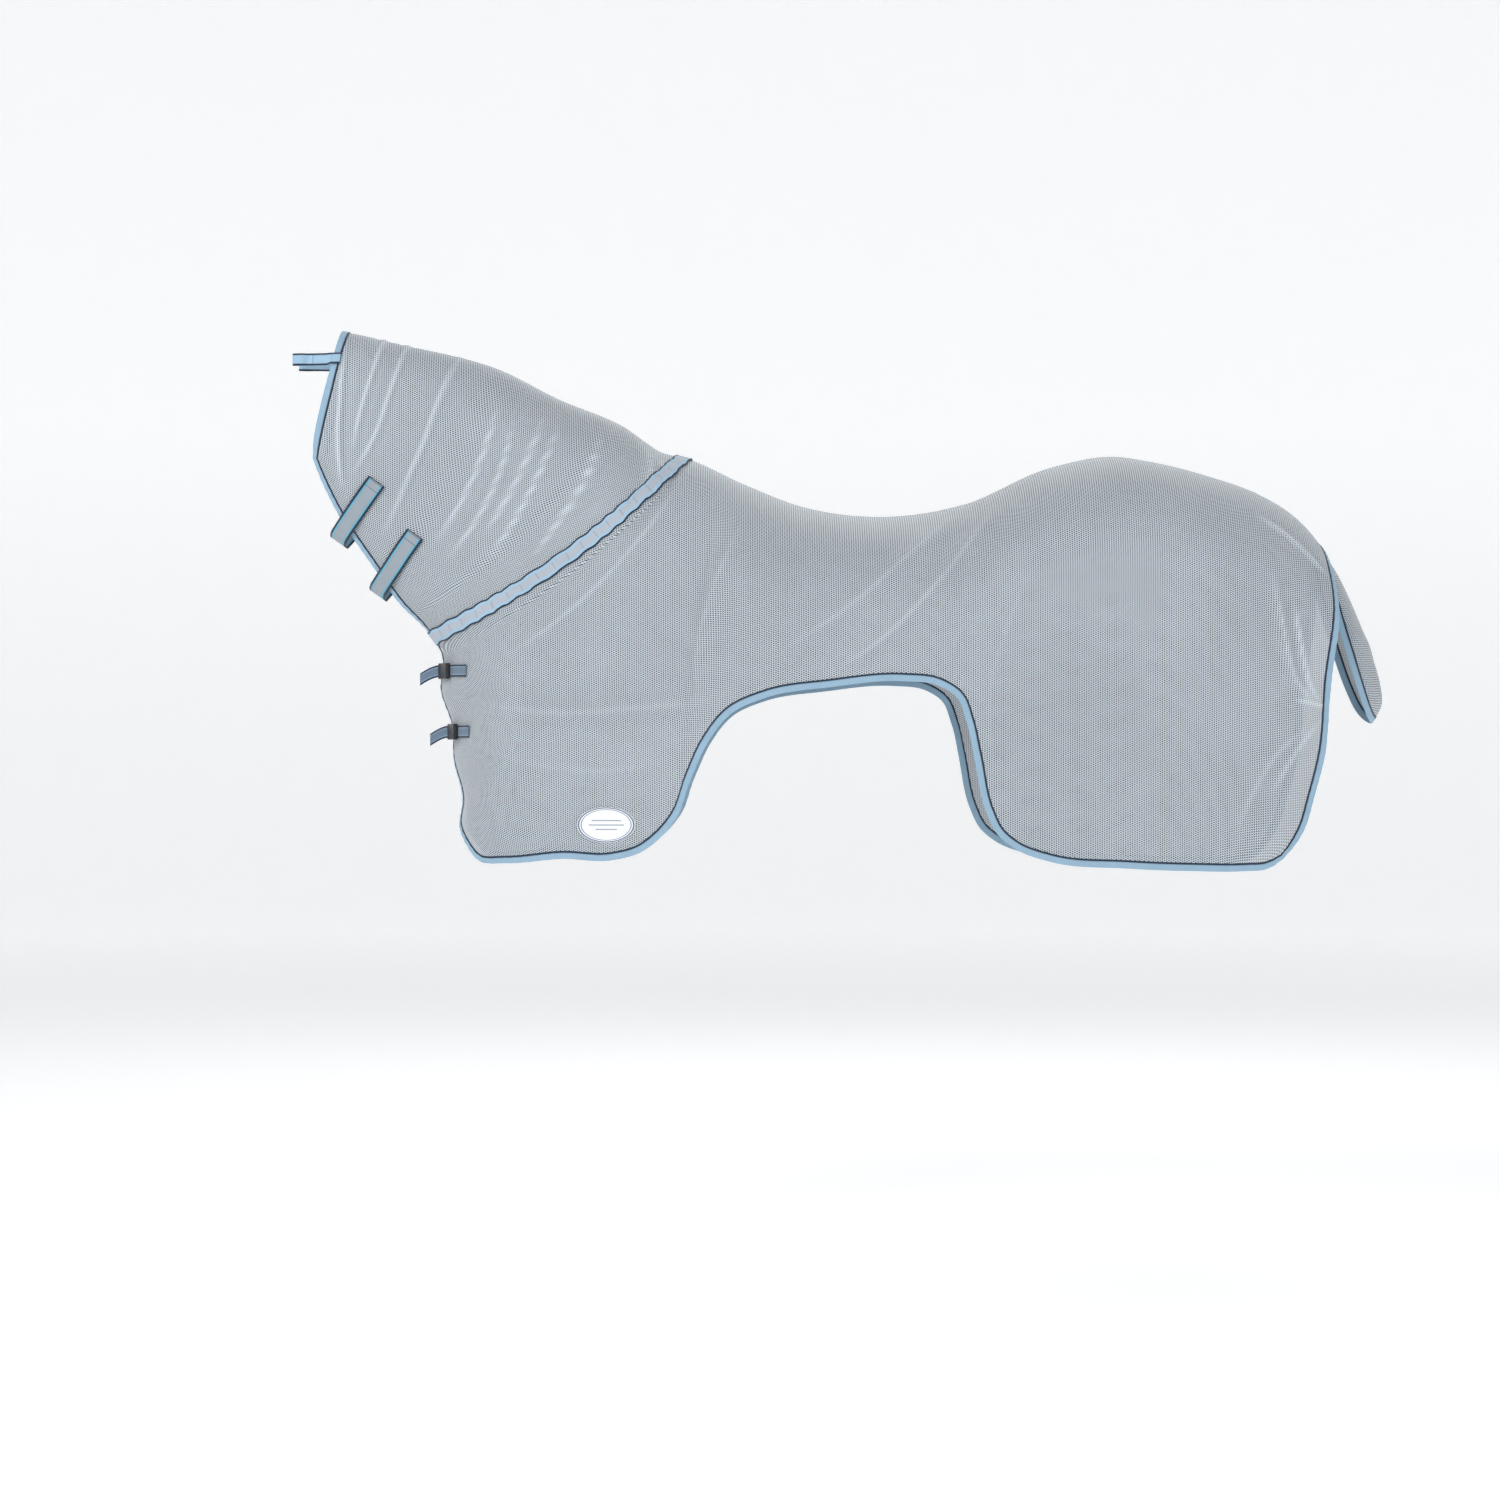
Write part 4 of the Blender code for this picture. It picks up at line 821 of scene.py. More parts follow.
def plastic_material(settings):
    """Moulded buckle plastic with a fine spark-eroded grain and rubbed, lighter patches."""
    shader = Shader("buckle_plastic", roughness=0.42)
    grain = shader.noise(1400.0, 2.0)
    rubbed = shader.noise(70.0, 4.0).ramp(0.5, 0.75)
    colour = shader.mix(rubbed * 0.35, settings.plastic, (0.05, 0.052, 0.056))
    shader.feed(Base_Color=colour, Roughness=rubbed * 0.18 + 0.34, Normal=shader.bump(grain, 0.25, 0.0002))
    return shader.material


MATERIALS = {}


def material(name):
    """Materials by name, each made once from the scene's settings."""
    if name not in MATERIALS:
        trim, hardware = bpy.context.scene.fly_sheet_trim, bpy.context.scene.fly_sheet_hardware
        navy, sky = tuple(trim.navy), tuple(trim.sky)
        makers = {
            "mesh": lambda: mesh_cloth_material(bpy.context.scene.fly_sheet_cloth),
            "binding": lambda: tape_material("binding_tape", BINDING_INNER, [(0.0042, navy)], sky,
                                             one_sided=True, stitches=[(0.0052, darker(sky, 0.6))]),
            "wide_tape": lambda: tape_material(
                "wide_tape", WIDE_TAPE_HALF, [(0.0034, navy), (0.0090, darker(sky, 1.2))], tuple(trim.centre),
                creases=True),
            "strap": lambda: tape_material(
                "throat_strap", STRAP_WIDTH / 2, [(0.0046, navy), (0.0078, tuple(trim.turquoise))],
                tuple(trim.strap), stitches=[(0.0098, (0.30, 0.33, 0.37))], end_tone=(0.08, 0.1, 0.13)),
            "chest_tape": lambda: tape_material(
                "chest_tape", WEBBING_WIDTH / 2, [(0.0036, navy), (0.0058, darker(sky, 0.7))],
                tuple(trim.webbing)),
            "tab_tape": lambda: tape_material("tab_tape", WEBBING_WIDTH / 2, [(0.0034, navy)],
                                              darker(sky, 1.15), stitches=[(0.0042, darker(sky, 0.7))]),
            "seam": lambda: tape_material("seam_tape", SEAM_TAPE_HALF, [(0.0012, (0.55, 0.6, 0.65))],
                                          (0.72, 0.77, 0.82)),
            "touch": lambda: touch_material(trim),
            "label": lambda: label_material(hardware),
            "plastic": lambda: plastic_material(hardware),
        }
        MATERIALS[name] = makers[name]()
    return MATERIALS[name]


# ---- pieces ----
PANELS = {}


def panels():
    """Points, pattern coordinates and fold nearness of the left neck and body panels, worked out once."""
    if not PANELS:
        cloth = bpy.context.scene.fly_sheet_cloth
        neck_columns = int(0.62 / cloth.cell)
        body_columns = int((EDGE_END - WITHER_SEAM) / cloth.cell)
        rows = int(0.95 / cloth.cell)
        PANELS["neck"] = cloth_grid(0.0, WITHER_SEAM, neck_columns, rows, cloth.fold_height)
        PANELS["body"] = cloth_grid(WITHER_SEAM, EDGE_END, body_columns, rows, cloth.fold_height)
    return PANELS


def flat_area(grid):
    """Area of a grid's faces from the cross products of their diagonals."""
    a, b = grid[1:, 1:] - grid[:-1, :-1], grid[1:, :-1] - grid[:-1, 1:]
    return float(np.linalg.norm(np.cross(a, b), axis=-1).sum() / 2)


def make_panels(which):
    grid, uv, close = panels()[which]
    title = {"neck": "neck_cover", "body": "body_cloth"}[which]
    size = PANEL_SIZES[which]
    for side, word in ((-1, "left"), (1, "right")):
        made = surface(f"{title}_{word}", sided(grid, side), uv, material("mesh"), flip=side < 0)
        crest = made.data.attributes.new("fold", "FLOAT", "POINT")
        crest.data.foreach_set("value", close.astype(np.float32).ravel())
        placed(made, f"{which}_panel_{word}", "sheet")
        min(flat_area(grid), 0.98 * size[0] * size[1])


def free_edge(which):
    """Line, inner line of the panel's lower edge and of its free end, in order from the seam's far side."""
    grid = panels()[which][0]
    inside = 2
    if which == "neck":
        line = np.concatenate([grid[0, :-1], grid[:, -1]])
        inner = np.concatenate([grid[inside, :-1], grid[:, -1 - inside]])
    else:
        line = np.concatenate([grid[:, -1], grid[-1, -2::-1]])
        inner = np.concatenate([grid[:, -1 - inside], grid[-1 - inside, -2::-1]])
    return line, inner


def make_bindings():
    """Tape folded over each free edge of the panels."""
    for which in ("neck", "body"):
        line, inner = free_edge(which)
        line, inner = respaced(0.006, line, inner)
        normals, away = edge_frame(line, inner)
        lift = 0.0005 * np.sin(along_lengths(line) * 2 * math.pi / 0.021)
        line = line + normals * lift[:, None]
        profile = binding_profile()
        for side, word in ((-1, "left"), (1, "right")):
            points, out, off = sided(line, side), sided(normals, side), sided(away, side)
            made = carried(f"{which}_edge_{word}", profile, points, out, off, material("binding"),
                           flip=side > 0)
            clear_of_middle(made, side)
            placed(made, f"{which}_binding_{word}", "sheet")


def clear_of_middle(made, side):
    """Keeps a piece's points on its own side of the middle plane."""
    points = np.empty(len(made.data.vertices) * 3, np.float32)
    made.data.vertices.foreach_get("co", points)
    points = points.reshape(-1, 3)
    points[:, 1] = side * np.maximum(side * points[:, 1], 0.0006)
    made.data.vertices.foreach_set("co", points.ravel())
    made.data.update()


def make_wide_tape():
    """Wide tape over the seam of neck cover and body, with gathered edges and puckers along it."""
    rows = 150
    depth = np.linspace(0, 1, rows)
    line = HALF.point(np.full(rows, WITHER_SEAM), depth)
    normals = HALF.normal(np.full(rows, WITHER_SEAM), depth)
    ahead = unit(np.gradient(line, axis=0))
    across = unit(np.cross(ahead, normals))
    end = line[-1] + ahead[-1] * np.array([[0.006], [0.012], [0.0155]])
    line = np.concatenate([line, end])
    normals = np.concatenate([normals, np.repeat(normals[-1:], 3, axis=0)])
    across = np.concatenate([across, np.repeat(across[-1:], 3, axis=0)])
    line, normals, across = respaced(0.004, line, normals, across)
    gone = along_lengths(line)
    share = np.linspace(-1, 1, 11)
    wobble = 0.0014 * np.sin(gone * 2 * math.pi / 0.047 + 2.0 * np.sin(gone * 21))
    pucker = (np.sin(gone * 2 * math.pi / 0.019 + 1.5 * np.sin(gone * 33))[:, None]
              * (0.35 + 0.65 * share[None] ** 2) * 0.0015 * (0.6 + 0.4 * np.sin(gone * 13))[:, None])
    half = WIDE_TAPE_HALF
    grid = (line[:, None] + across[:, None] * (share[None, :, None] * half + wobble[:, None, None])
            + normals[:, None] * (0.0022 + pucker - 0.0007 * np.abs(share[None]) ** 4)[..., None])
    body = fold_lift(grid, bpy.context.scene.fly_sheet_cloth.fold_height)[0]
    fitted = grid + normals[:, None] * np.clip(body, 0, 0.003)[..., None]
    fitted[..., 1] = np.minimum(fitted[..., 1], -SEAM_HALF_GAP)
    uv = pattern_across_along(share * half, gone)
    for side, word in ((-1, "left"), (1, "right")):
        made = surface(f"wide_tape_{word}", sided(fitted, side), uv, material("wide_tape"),
                       flip=side > 0, thickness=0.0011)
        placed(made, f"wither_tape_{word}", "sheet")


def make_seam_tapes():
    """Tapes under the top line that join the left and right halves."""
    for name, which, node in (("crest_tape", "neck", "crest_seam_tape"),
                              ("back_tape", "body", "back_seam_tape")):
        grid = panels()[which][0]
        ridge = grid[:, 0] * [1, 0, 1]
        down = unit(grid[:, 3] - grid[:, 0])
        ridge, down = respaced(0.012, ridge, down)
        down = unit(down)
        share = np.linspace(-1, 1, 7)
        reach = np.abs(share)[None, :, None] * SEAM_TAPE_HALF
        points = ridge[:, None] + down[:, None] * reach
        points[..., 1] = np.abs(points[..., 1]) * np.sign(share)[None]
        points[..., 2] -= 0.0012
        uv = pattern_across_along(share * SEAM_TAPE_HALF, along_lengths(ridge))
        made = surface(name, points, uv, material("seam"), thickness=0.0008)
        placed(made, node, "sheet")


def flap_grid(rows, columns):
    """Arched flap: a quarter-wave rise from its edge line to its ridge line, across a half turn."""
    edge, ridge = smooth_curve(FLAP_EDGE, rows), smooth_curve(FLAP_RIDGE, rows)
    angle = np.linspace(-1, 1, columns) * math.pi / 2
    rise = (ridge - edge[:, [0, 2]])[:, None, :] * np.cos(angle)[None, :, None]
    grid = np.empty((rows, columns, 3))
    grid[..., [0, 2]] = edge[:, None, [0, 2]] + rise
    grid[..., 1] = edge[:, None, 1] * np.sin(angle)[None, :]
    line, inner = free_edge("body")
    normals, away = edge_frame(line, inner)
    seat = (line + away * 0.010 - normals * 0.0025)[-70:][::-1]
    wanted = np.array(grid[0])
    for axis in (0, 2):
        wanted[:, axis] = np.interp(np.abs(grid[0, :, 1]), -seat[:, 1], seat[:, axis])
    return grid + (wanted - grid[0]) * (np.linspace(1, 0, rows) ** 2)[:, None, None]


def make_tail_flap():
    """Flap and its binding, both bent from the sheet to the flap across the dock."""
    rows, columns = 44, 41
    grid = flap_grid(rows, columns)
    normals = grid_normals(grid) * -1
    down, across = np.linspace(0, 1, rows)[:, None], np.linspace(-1, 1, columns)[None]
    soft = (0.0022 * np.sin(across * 7 + down * 4) * down
            + 0.003 * np.exp(-((down - 0.62 - 0.25 * across) / 0.07) ** 2))
    calm = (np.clip(down / 0.25, 0, 1) * np.clip((1 - np.abs(across)) / 0.15, 0, 1)
            * np.clip((1 - down) / 0.15, 0, 1))
    grid = grid + normals * (soft * calm)[..., None]
    widths, lengths = (np.linalg.norm(np.diff(grid, axis=axis), axis=2) for axis in (1, 0))
    u = np.concatenate([np.zeros((rows, 1)), widths.cumsum(axis=1)], axis=1)
    v = np.concatenate([np.zeros((1, columns)), lengths.cumsum(axis=0)], axis=0)
    middle = columns // 2
    u = u - u[:, middle:middle + 1]
    made = surface("tail_flap_cloth", grid, np.stack([u, v], axis=-1), material("mesh"))
    line = np.concatenate([grid[:, 0], grid[-1, 1:-1], grid[::-1, -1]])
    inner = np.concatenate([grid[:, 2], grid[-3, 1:-1], grid[::-1, -3]])
    line, inner = respaced(0.005, line, inner)
    out, away = edge_frame(line, inner, 8)
    edge = carried("tail_flap_edge", binding_profile(), line, out, away,
                   material("binding"))
    for piece, node in ((made, "tail_flap"), (edge, "tail_flap_binding")):
        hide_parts(node)
        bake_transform(piece)


def strap_spot(name, along, across):
    """Side-view points along a throat strap from its square end, and across its width."""
    down = -np.array([math.cos(STRAP_LEAN), math.sin(STRAP_LEAN)])
    along, across = np.broadcast_arrays(np.asarray(along, float), np.asarray(across, float))
    return (np.array(STRAP_ENDS[name]) + down * along[..., None]
            + np.array([-down[1], down[0]]) * across[..., None])


def strap_surface(name):
    """Strap down the left side, under the throat and up to its sewn end on the right side."""
    over_patches = 2 * TOUCH_TAPE["thickness"] + 3 * CLEARANCE + TAPE_THICKNESS
    over_binding = 0.001 + CLEARANCE + TAPE_THICKNESS
    turn = [(STRAP_LAP - 0.017, 0.45), (STRAP_LAP, 0.85), (STRAP_LAP + STRAP_PAST_EDGE, 1.0)]
    near = np.array([(0.0, 0.0), (0.03, 0.0), (0.06, 0.0), (0.085, 0.0)] + turn)
    far = np.array(turn[::-1] + [(STRAP_LAP - 0.03, 0.0), (STRAP_LAP - STRAP_SEWN, 0.0)])
    columns = []
    for share in np.linspace(-0.5, 0.5, 9):
        across = share * STRAP_WIDTH
        left = laid_on(strap_spot(name, near[:, 0], across), 1, over_patches + near[:, 1] * STRAP_BULGE)
        right = laid_on(strap_spot(name, far[:, 0], across), 1, over_binding + far[:, 1] * STRAP_BULGE)
        right = sided(right, 1)
        dip = strap_spot(name, STRAP_LAP + STRAP_DIP, across)
        middle = np.array([[dip[0], 0.0, dip[1]]])
        columns.append(smooth_curve(np.concatenate([left, middle, right]), 120))
    grid = np.stack(columns, axis=1)
    uv = pattern_across_along(np.linspace(-0.5, 0.5, 9) * STRAP_WIDTH, along_lengths(grid[:, 4]))
    return grid, uv


def make_throat_straps():
    thick = TOUCH_TAPE["thickness"]
    for name in STRAP_ENDS:
        grid, uv = strap_surface(name)
        strap = surface(f"strap_{name}", grid, uv, material("strap"), flip=True,
                        thickness=TAPE_THICKNESS)
        placed(strap, f"throat_strap_{name}", f"throat_strap_{name}")
        along = np.linspace(0, TOUCH_TAPE["length"], 20) + TOUCH_TAPE["inset"]
        for word, lift, body, shift in (("loop", CLEARANCE, "sheet", -0.0055),
                                        ("hook", 2 * CLEARANCE + thick, f"throat_strap_{name}", 0.0)):
            across = np.linspace(-0.5, 0.5, 9) * TOUCH_TAPE["width"]
            flat = strap_spot(name, along[:, None] + (0.002 if word == "loop" else 0.0), across[None] + shift)
            patch = laid_on(flat, 1, lift + thick)
            patch_uv = pattern_across_along(across, along)
            made = surface(f"{word}_patch_{name}", patch, patch_uv, material("touch"), flip=True,
                           thickness=thick)
            placed(made, f"throat_{word}_patch_{name}", body)


def tab_frame():
    """Origin on the face edge, forward direction, normals where the tab is sewn and where it hangs."""
    grid = panels()["neck"][0]
    line, inner = grid[0], grid[2]
    at = np.interp(-TAB_HEIGHT, -line[:, 2], np.arange(len(line)))
    low = int(at)
    origin = line[low] + (line[low + 1] - line[low]) * (at - low)
    ahead = unit(line[low + 2] - line[low - 2])
    out = unit(origin - inner[low])
    away = unit(out - ahead * (out @ ahead))
    normal = np.cross(away, ahead)
    normal = normal if normal[1] < 0 else -normal
    forward = unit(away * [1, 1, 0])
    sewn = unit(normal - forward * (normal @ forward))
    return origin, forward, sewn, np.cross([0, 0, 1], forward)


def tab_surface(path, frame, smooth):
    """Tape along (forward, out) steps that twists from the slope of the neck cover to upright."""
    origin, forward, sewn, hung = frame
    path = smooth_curve(path, smooth)
    turned = np.clip((path[:, 0] - BINDING_WIDTH) / 0.014, 0, 1)[:, None]
    turned = turned * turned * (3 - 2 * turned)
    normals = unit(sewn * (1 - turned) + hung * turned)
    middle = origin + forward * path[:, :1] + normals * path[:, 1:]
    across = np.cross(normals, forward) * WEBBING_WIDTH / 2
    share = np.linspace(-1, 1, 5)
    grid = middle[:, None] + across[:, None] * share[None, :, None]
    uv = pattern_across_along(share * WEBBING_WIDTH / 2, along_lengths(middle))
    return grid, uv


def make_bridle_tabs():
    """Each tab has a patch sewn over the binding and a hanging part folded back to a loop."""
    frame = tab_frame()
    flat, far = TAB_LIFT + TAPE_THICKNESS, TAB_REACH
    near, gap = far - TAB_LOOP[0], TAB_LOOP[1]
    turn = np.linspace(-math.pi / 2, math.pi / 2, 9)
    bend = np.stack([far - gap / 2 + gap / 2 * np.cos(turn), flat + gap / 2 + gap / 2 * np.sin(turn)], axis=1)
    run = [(BINDING_WIDTH + CLEARANCE, flat), (0.022, flat), (0.030, flat), (0.045, flat), (near, flat)]
    back = [(near + 0.004, flat + gap), (near - 0.001, flat + gap * 0.45), (near - 0.005, flat + CLEARANCE),
            (near - 0.011, flat + CLEARANCE), (near - 0.004 - TAB_LAP, flat + CLEARANCE)]
    loop, loop_uv = tab_surface(np.concatenate([run, bend, back]), frame, 90)
    sewn_run = np.array([(-TAB_SEWN, flat), (0.0, flat), (BINDING_WIDTH, flat)])
    patch, patch_uv = tab_surface(sewn_run, frame, 14)
    for side, word in ((-1, "left"), (1, "right")):
        tab = surface(f"tab_{word}", sided(loop, side), loop_uv, material("tab_tape"),
                      flip=side > 0, thickness=TAPE_THICKNESS)
        sewn = surface(f"tab_patch_{word}", sided(patch, side), patch_uv, material("tab_tape"),
                       flip=side > 0, thickness=TAPE_THICKNESS)
        placed(tab, f"bridle_tab_{word}", f"bridle_tab_{word}")
        placed(sewn, f"bridle_tab_patch_{word}", "sheet")


class ChestFrame:
    """Axes at a buckle: along the strap to the middle, out from the chest, and up."""

    def __init__(self, height):
        self.height = height
        ahead = self.front(0.01 - BUCKLE_OFFSET, 0) - self.front(-0.01 - BUCKLE_OFFSET, 0)
        self.along = unit(ahead * [1, 1, 0])
        self.up = np.array([0.0, 0.0, 1.0])
        self.out = np.cross(self.up, self.along)
        self.origin = self.front(-BUCKLE_OFFSET, 0.001 + CLEARANCE)

    def front(self, across, lift):
        return laid_on([[across, self.height]], 0, lift)[0]

    def place(self, along, out, up=0.0):
        return self.origin + self.along * along + self.out * out + self.up * up


def webbing_surface(frame, line, count):
    """Flat webbing on edge along a line."""
    line = smooth_curve(line, count)
    share = np.linspace(-1, 1, 7)
    grid = line[:, None] + frame.up * (share * WEBBING_WIDTH / 2)[None, :, None]
    uv = pattern_across_along(share * WEBBING_WIDTH / 2, along_lengths(line))
    return grid, uv


def make_chest_straps():
    end = BUCKLE_LENGTH / 2
    lift = 0.001 + CLEARANCE + WEBBING_THICKNESS
    for name, height in CHEST_HEIGHTS.items():
        chest = ChestFrame(height)
        sewn = [chest.front(-across, lift)
                for across in np.linspace(WEBBING_SEWN[0], BUCKLE_OFFSET + end + 0.004, 4)]
        short = sewn + [chest.place(along, WEBBING_THICKNESS) for along in (0.004 - end, -0.003)]
        straight = [chest.place(along, WEBBING_THICKNESS) for along in (0.005, 0.025, 0.045, 0.055)]
        right = []
        for across in np.linspace(0.010, WEBBING_SEWN[1], 7):
            bulge = WEBBING_BULGE * max(0.0, 1 - across / 0.07)
            right.append(chest.front(-across, lift + bulge) * [1, -1, 1])
        root = chest.place(end + PLUG_BASE, WEBBING_THICKNESS + BUCKLE_DEPTH)
        run = np.linspace(0, 1, 6)[:, None]
        swing, droop = math.radians(38), math.radians(22)
        tail = (root + run * TAIL_LENGTH * (math.cos(swing) * chest.along + math.sin(swing) * chest.out)
                - run ** 1.5 * TAIL_LENGTH * math.sin(droop) * chest.up)
        for word, line, node, body in (("left", short, f"chest_webbing_left_{name}", "sheet"),
                                       ("right", straight + right, f"chest_webbing_right_{name}", "sheet"),
                                       ("end", tail, f"webbing_end_{name}", f"webbing_end_{name}")):
            grid, uv = webbing_surface(chest, np.array(line), 60)
            made = surface(f"chest_strap_{word}_{name}", grid, uv, material("chest_tape"),
                           flip=True, thickness=WEBBING_THICKNESS)
            placed(made, node, body)


def make_buckles():
    """The moulded buckle halves keep their solids and get the plastic's finish."""
    for name in CHEST_HEIGHTS:
        for node in (f"buckle_socket_{name}", f"buckle_plug_{name}"):
            made = frame["nodes"][node]
            made.data.materials.clear()
            made.data.materials.append(material("plastic"))


def make_label():
    """Oval patch on the left front skirt: rings of points from its middle to its sewn rim."""
    angle = np.linspace(0, 2 * math.pi, 73)
    ring = np.array([0.0, 0.2, 0.4, 0.6, 0.75, 0.84, 0.89, 0.93, 0.97, 1.0])
    flat = np.array(LABEL_CENTRE) + np.stack(
        [np.cos(angle)[None] * ring[:, None] * LABEL_SIZE[0] / 2,
         np.sin(angle)[None] * ring[:, None] * LABEL_SIZE[1] / 2], axis=-1)
    crown = 0.0006 * (1 - ring ** 6) + np.where(np.abs(ring - 0.93) < 0.03, 0.0003, 0.0)
    grid = laid_on(flat, 1, 0.0032 + np.broadcast_to(crown[:, None], flat.shape[:-1]))
    uv = pattern_across_along(angle / (2 * math.pi), ring)[..., ::-1]
    made = surface("oval_label", grid, uv, material("label"), thickness=0.0009, flip=True)
    close_doubles(made)
    placed(made, "label_patch", "sheet")


# ---- stage ----
def make_stage(settings):
    """Round pale floor that curves up into a wall on all sides, soft lights and the camera."""
    turn = np.linspace(0, math.pi / 2, 16)
    floor_radius, bend = 15.0, 3.0
    profile = np.concatenate([[(0.0, 0.0), (5.0, 0.0), (10.0, 0.0)],
                              np.stack([floor_radius + bend * np.sin(turn),
                                        bend * (1 - np.cos(turn))], axis=1),
                              [(floor_radius + bend, 14.0)]])
    angle = np.linspace(0, 2 * math.pi, 97)
    grid = np.stack(np.broadcast_arrays(profile[:, :1] * np.cos(angle), profile[:, :1] * np.sin(angle),
                                        profile[:, 1:] + settings.floor_height), axis=-1)
    shader = Shader("backdrop_paper", roughness=0.9, Emission_Color=(1.0, 1.0, 1.0, 1.0),
                    Emission_Strength=0.26)
    tone = shader.mix(shader.noise(0.6, 2.0) * 0.1, tuple(settings.backdrop), darker(settings.backdrop, 0.97))
    shader.feed(Base_Color=tone)
    floor = surface("floor", grid, np.zeros(grid.shape[:2] + (2,)), shader.material)
    close_doubles(floor)
    world = bpy.data.worlds.new("studio")
    bpy.context.scene.world = world
    world.use_nodes = True
    world.node_tree.nodes["Background"].inputs["Color"].default_value = (0.95, 0.97, 1.0, 1.0)
    world.node_tree.nodes["Background"].inputs["Strength"].default_value = 0.33
    bpy.context.scene.view_settings.view_transform = "Standard"
    for name, place, aim, size, power in (
            ("key", (-3.2, -5.0, 3.4), (0.2, 0.0, -0.4), 3.0, 190.0),
            ("fill", (4.6, -4.6, 1.6), (0.4, 0.0, -0.4), 3.4, 52.0),
            ("back", (1.0, 4.0, 3.6), (0.3, 0.0, -0.2), 3.0, 90.0)):
        light = bpy.data.lights.new(name, "AREA")
        light.size = size
        light.energy = power
        made = bpy.data.objects.new(name, light)
        made.location = place
        made.rotation_euler = look_angles(place, aim)
        bpy.context.scene.collection.objects.link(made)
    camera = bpy.data.cameras.new("camera")
    camera.sensor_width = 36.0
    camera.lens = 36.0 * settings.camera_distance / 3.15
    camera.clip_end = 60.0
    made = bpy.data.objects.new("camera", camera)
    made.location = (0.126, -settings.camera_distance, -0.609)
    made.rotation_euler = (math.pi / 2, 0.0, 0.0)
    bpy.context.scene.collection.objects.link(made)
    bpy.context.scene.camera = made


def look_angles(place, aim):
    """Turns that point a light's -Z axis from its place to the aim."""
    ahead = np.array(aim) - np.array(place)
    flat = math.hypot(ahead[0], ahead[1])
    return (math.pi / 2 + math.atan2(ahead[2], flat), 0.0, math.atan2(ahead[1], ahead[0]) - math.pi / 2)


# ---- operators and panel ----
class FLYSHEET_OT_stage(bpy.types.Operator):
    """Build the floor, the backdrop, the lights and the camera"""
    bl_idname = "flysheet.stage"
    bl_label = "Stage"

    def execute(self, context):
        make_stage(context.scene.fly_sheet_stage)
        return {"FINISHED"}


class FLYSHEET_OT_neck_cover(bpy.types.Operator):
    """Build the two mesh halves of the neck cover"""
    bl_idname = "flysheet.neck_cover"
    bl_label = "Neck Cover"

    def execute(self, context):
        make_panels("neck")
        return {"FINISHED"}


class FLYSHEET_OT_body_cloth(bpy.types.Operator):
    """Build the two mesh halves of the body"""
    bl_idname = "flysheet.body_cloth"
    bl_label = "Body Cloth"

    def execute(self, context):
        make_panels("body")
        return {"FINISHED"}


class FLYSHEET_OT_bindings(bpy.types.Operator):
    """Fold the binding tape over the free edges"""
    bl_idname = "flysheet.bindings"
    bl_label = "Bindings"

    def execute(self, context):
        make_bindings()
        return {"FINISHED"}


class FLYSHEET_OT_seam_tapes(bpy.types.Operator):
    """Build the wide tape at the withers and the tapes under the top line"""
    bl_idname = "flysheet.seam_tapes"
    bl_label = "Seam Tapes"

    def execute(self, context):
        make_wide_tape()
        make_seam_tapes()
        return {"FINISHED"}


class FLYSHEET_OT_tail_flap(bpy.types.Operator):
    """Build the tail flap and its binding"""
    bl_idname = "flysheet.tail_flap"
    bl_label = "Tail Flap"

    def execute(self, context):
        make_tail_flap()
        return {"FINISHED"}


class FLYSHEET_OT_throat_straps(bpy.types.Operator):
    """Build the throat straps with their hook and loop patches"""
    bl_idname = "flysheet.throat_straps"
    bl_label = "Throat Straps"

    def execute(self, context):
        make_throat_straps()
        return {"FINISHED"}


class FLYSHEET_OT_bridle_tabs(bpy.types.Operator):
    """Build the tabs that fold round the bridle"""
    bl_idname = "flysheet.bridle_tabs"
    bl_label = "Bridle Tabs"

    def execute(self, context):
        make_bridle_tabs()
        return {"FINISHED"}


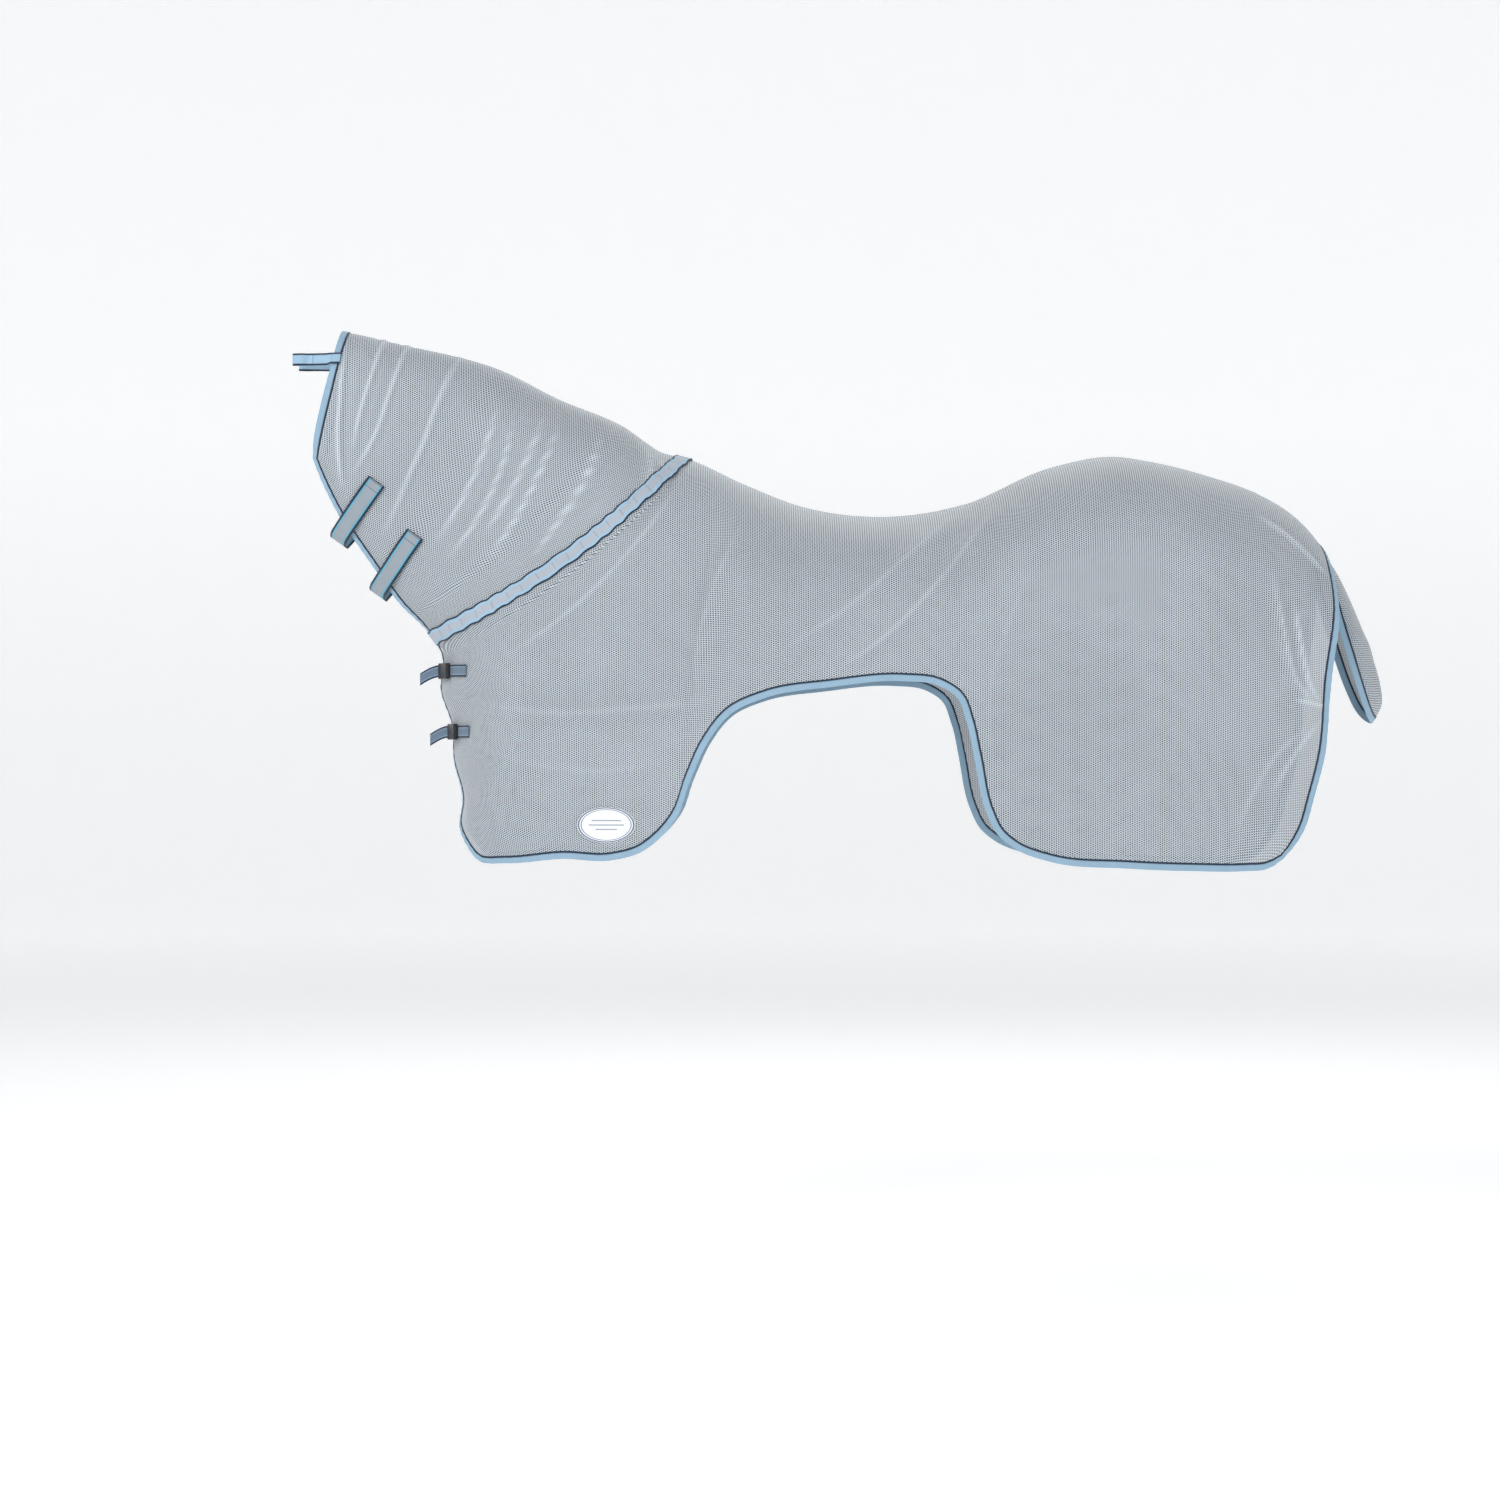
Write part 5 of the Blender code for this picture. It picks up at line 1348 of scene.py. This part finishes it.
class FLYSHEET_OT_chest_straps(bpy.types.Operator):
    """Build the chest straps and finish their buckles"""
    bl_idname = "flysheet.chest_straps"
    bl_label = "Chest Straps"

    def execute(self, context):
        make_chest_straps()
        make_buckles()
        return {"FINISHED"}


class FLYSHEET_OT_label(bpy.types.Operator):
    """Sew the oval label on the left front skirt"""
    bl_idname = "flysheet.label"
    bl_label = "Label"

    def execute(self, context):
        make_label()
        return {"FINISHED"}


OPERATORS = (
    FLYSHEET_OT_stage, FLYSHEET_OT_neck_cover, FLYSHEET_OT_body_cloth, FLYSHEET_OT_bindings,
    FLYSHEET_OT_seam_tapes, FLYSHEET_OT_tail_flap, FLYSHEET_OT_throat_straps, FLYSHEET_OT_bridle_tabs,
    FLYSHEET_OT_chest_straps, FLYSHEET_OT_label,
)
SETTINGS = {
    "fly_sheet_cloth": FlySheetClothSettings, "fly_sheet_trim": FlySheetTrimSettings,
    "fly_sheet_hardware": FlySheetHardwareSettings, "fly_sheet_stage": FlySheetStageSettings,
}


class FLYSHEET_PT_sidebar(bpy.types.Panel):
    """Settings and builders of the riding fly sheet"""
    bl_label = "Riding Fly Sheet"
    bl_idname = "FLYSHEET_PT_sidebar"
    bl_space_type = "VIEW_3D"
    bl_region_type = "UI"
    bl_category = "Fly Sheet"

    def draw(self, context):
        for name, group in SETTINGS.items():
            box = self.layout.box()
            for key in group.__annotations__:
                box.prop(getattr(context.scene, name), key)
        for operator in OPERATORS:
            self.layout.operator(operator.bl_idname)


def register():
    for made in (*SETTINGS.values(), *OPERATORS, FLYSHEET_PT_sidebar):
        bpy.utils.register_class(made)
    for name, group in SETTINGS.items():
        setattr(bpy.types.Scene, name, bpy.props.PointerProperty(type=group))


def unregister():
    for name in SETTINGS:
        delattr(bpy.types.Scene, name)
    for made in reversed((*SETTINGS.values(), *OPERATORS, FLYSHEET_PT_sidebar)):
        bpy.utils.unregister_class(made)


def main():
    register()
    for operator in OPERATORS:
        getattr(bpy.ops.flysheet, operator.bl_idname.split(".")[1])()


if __name__ == "__main__":
    main()
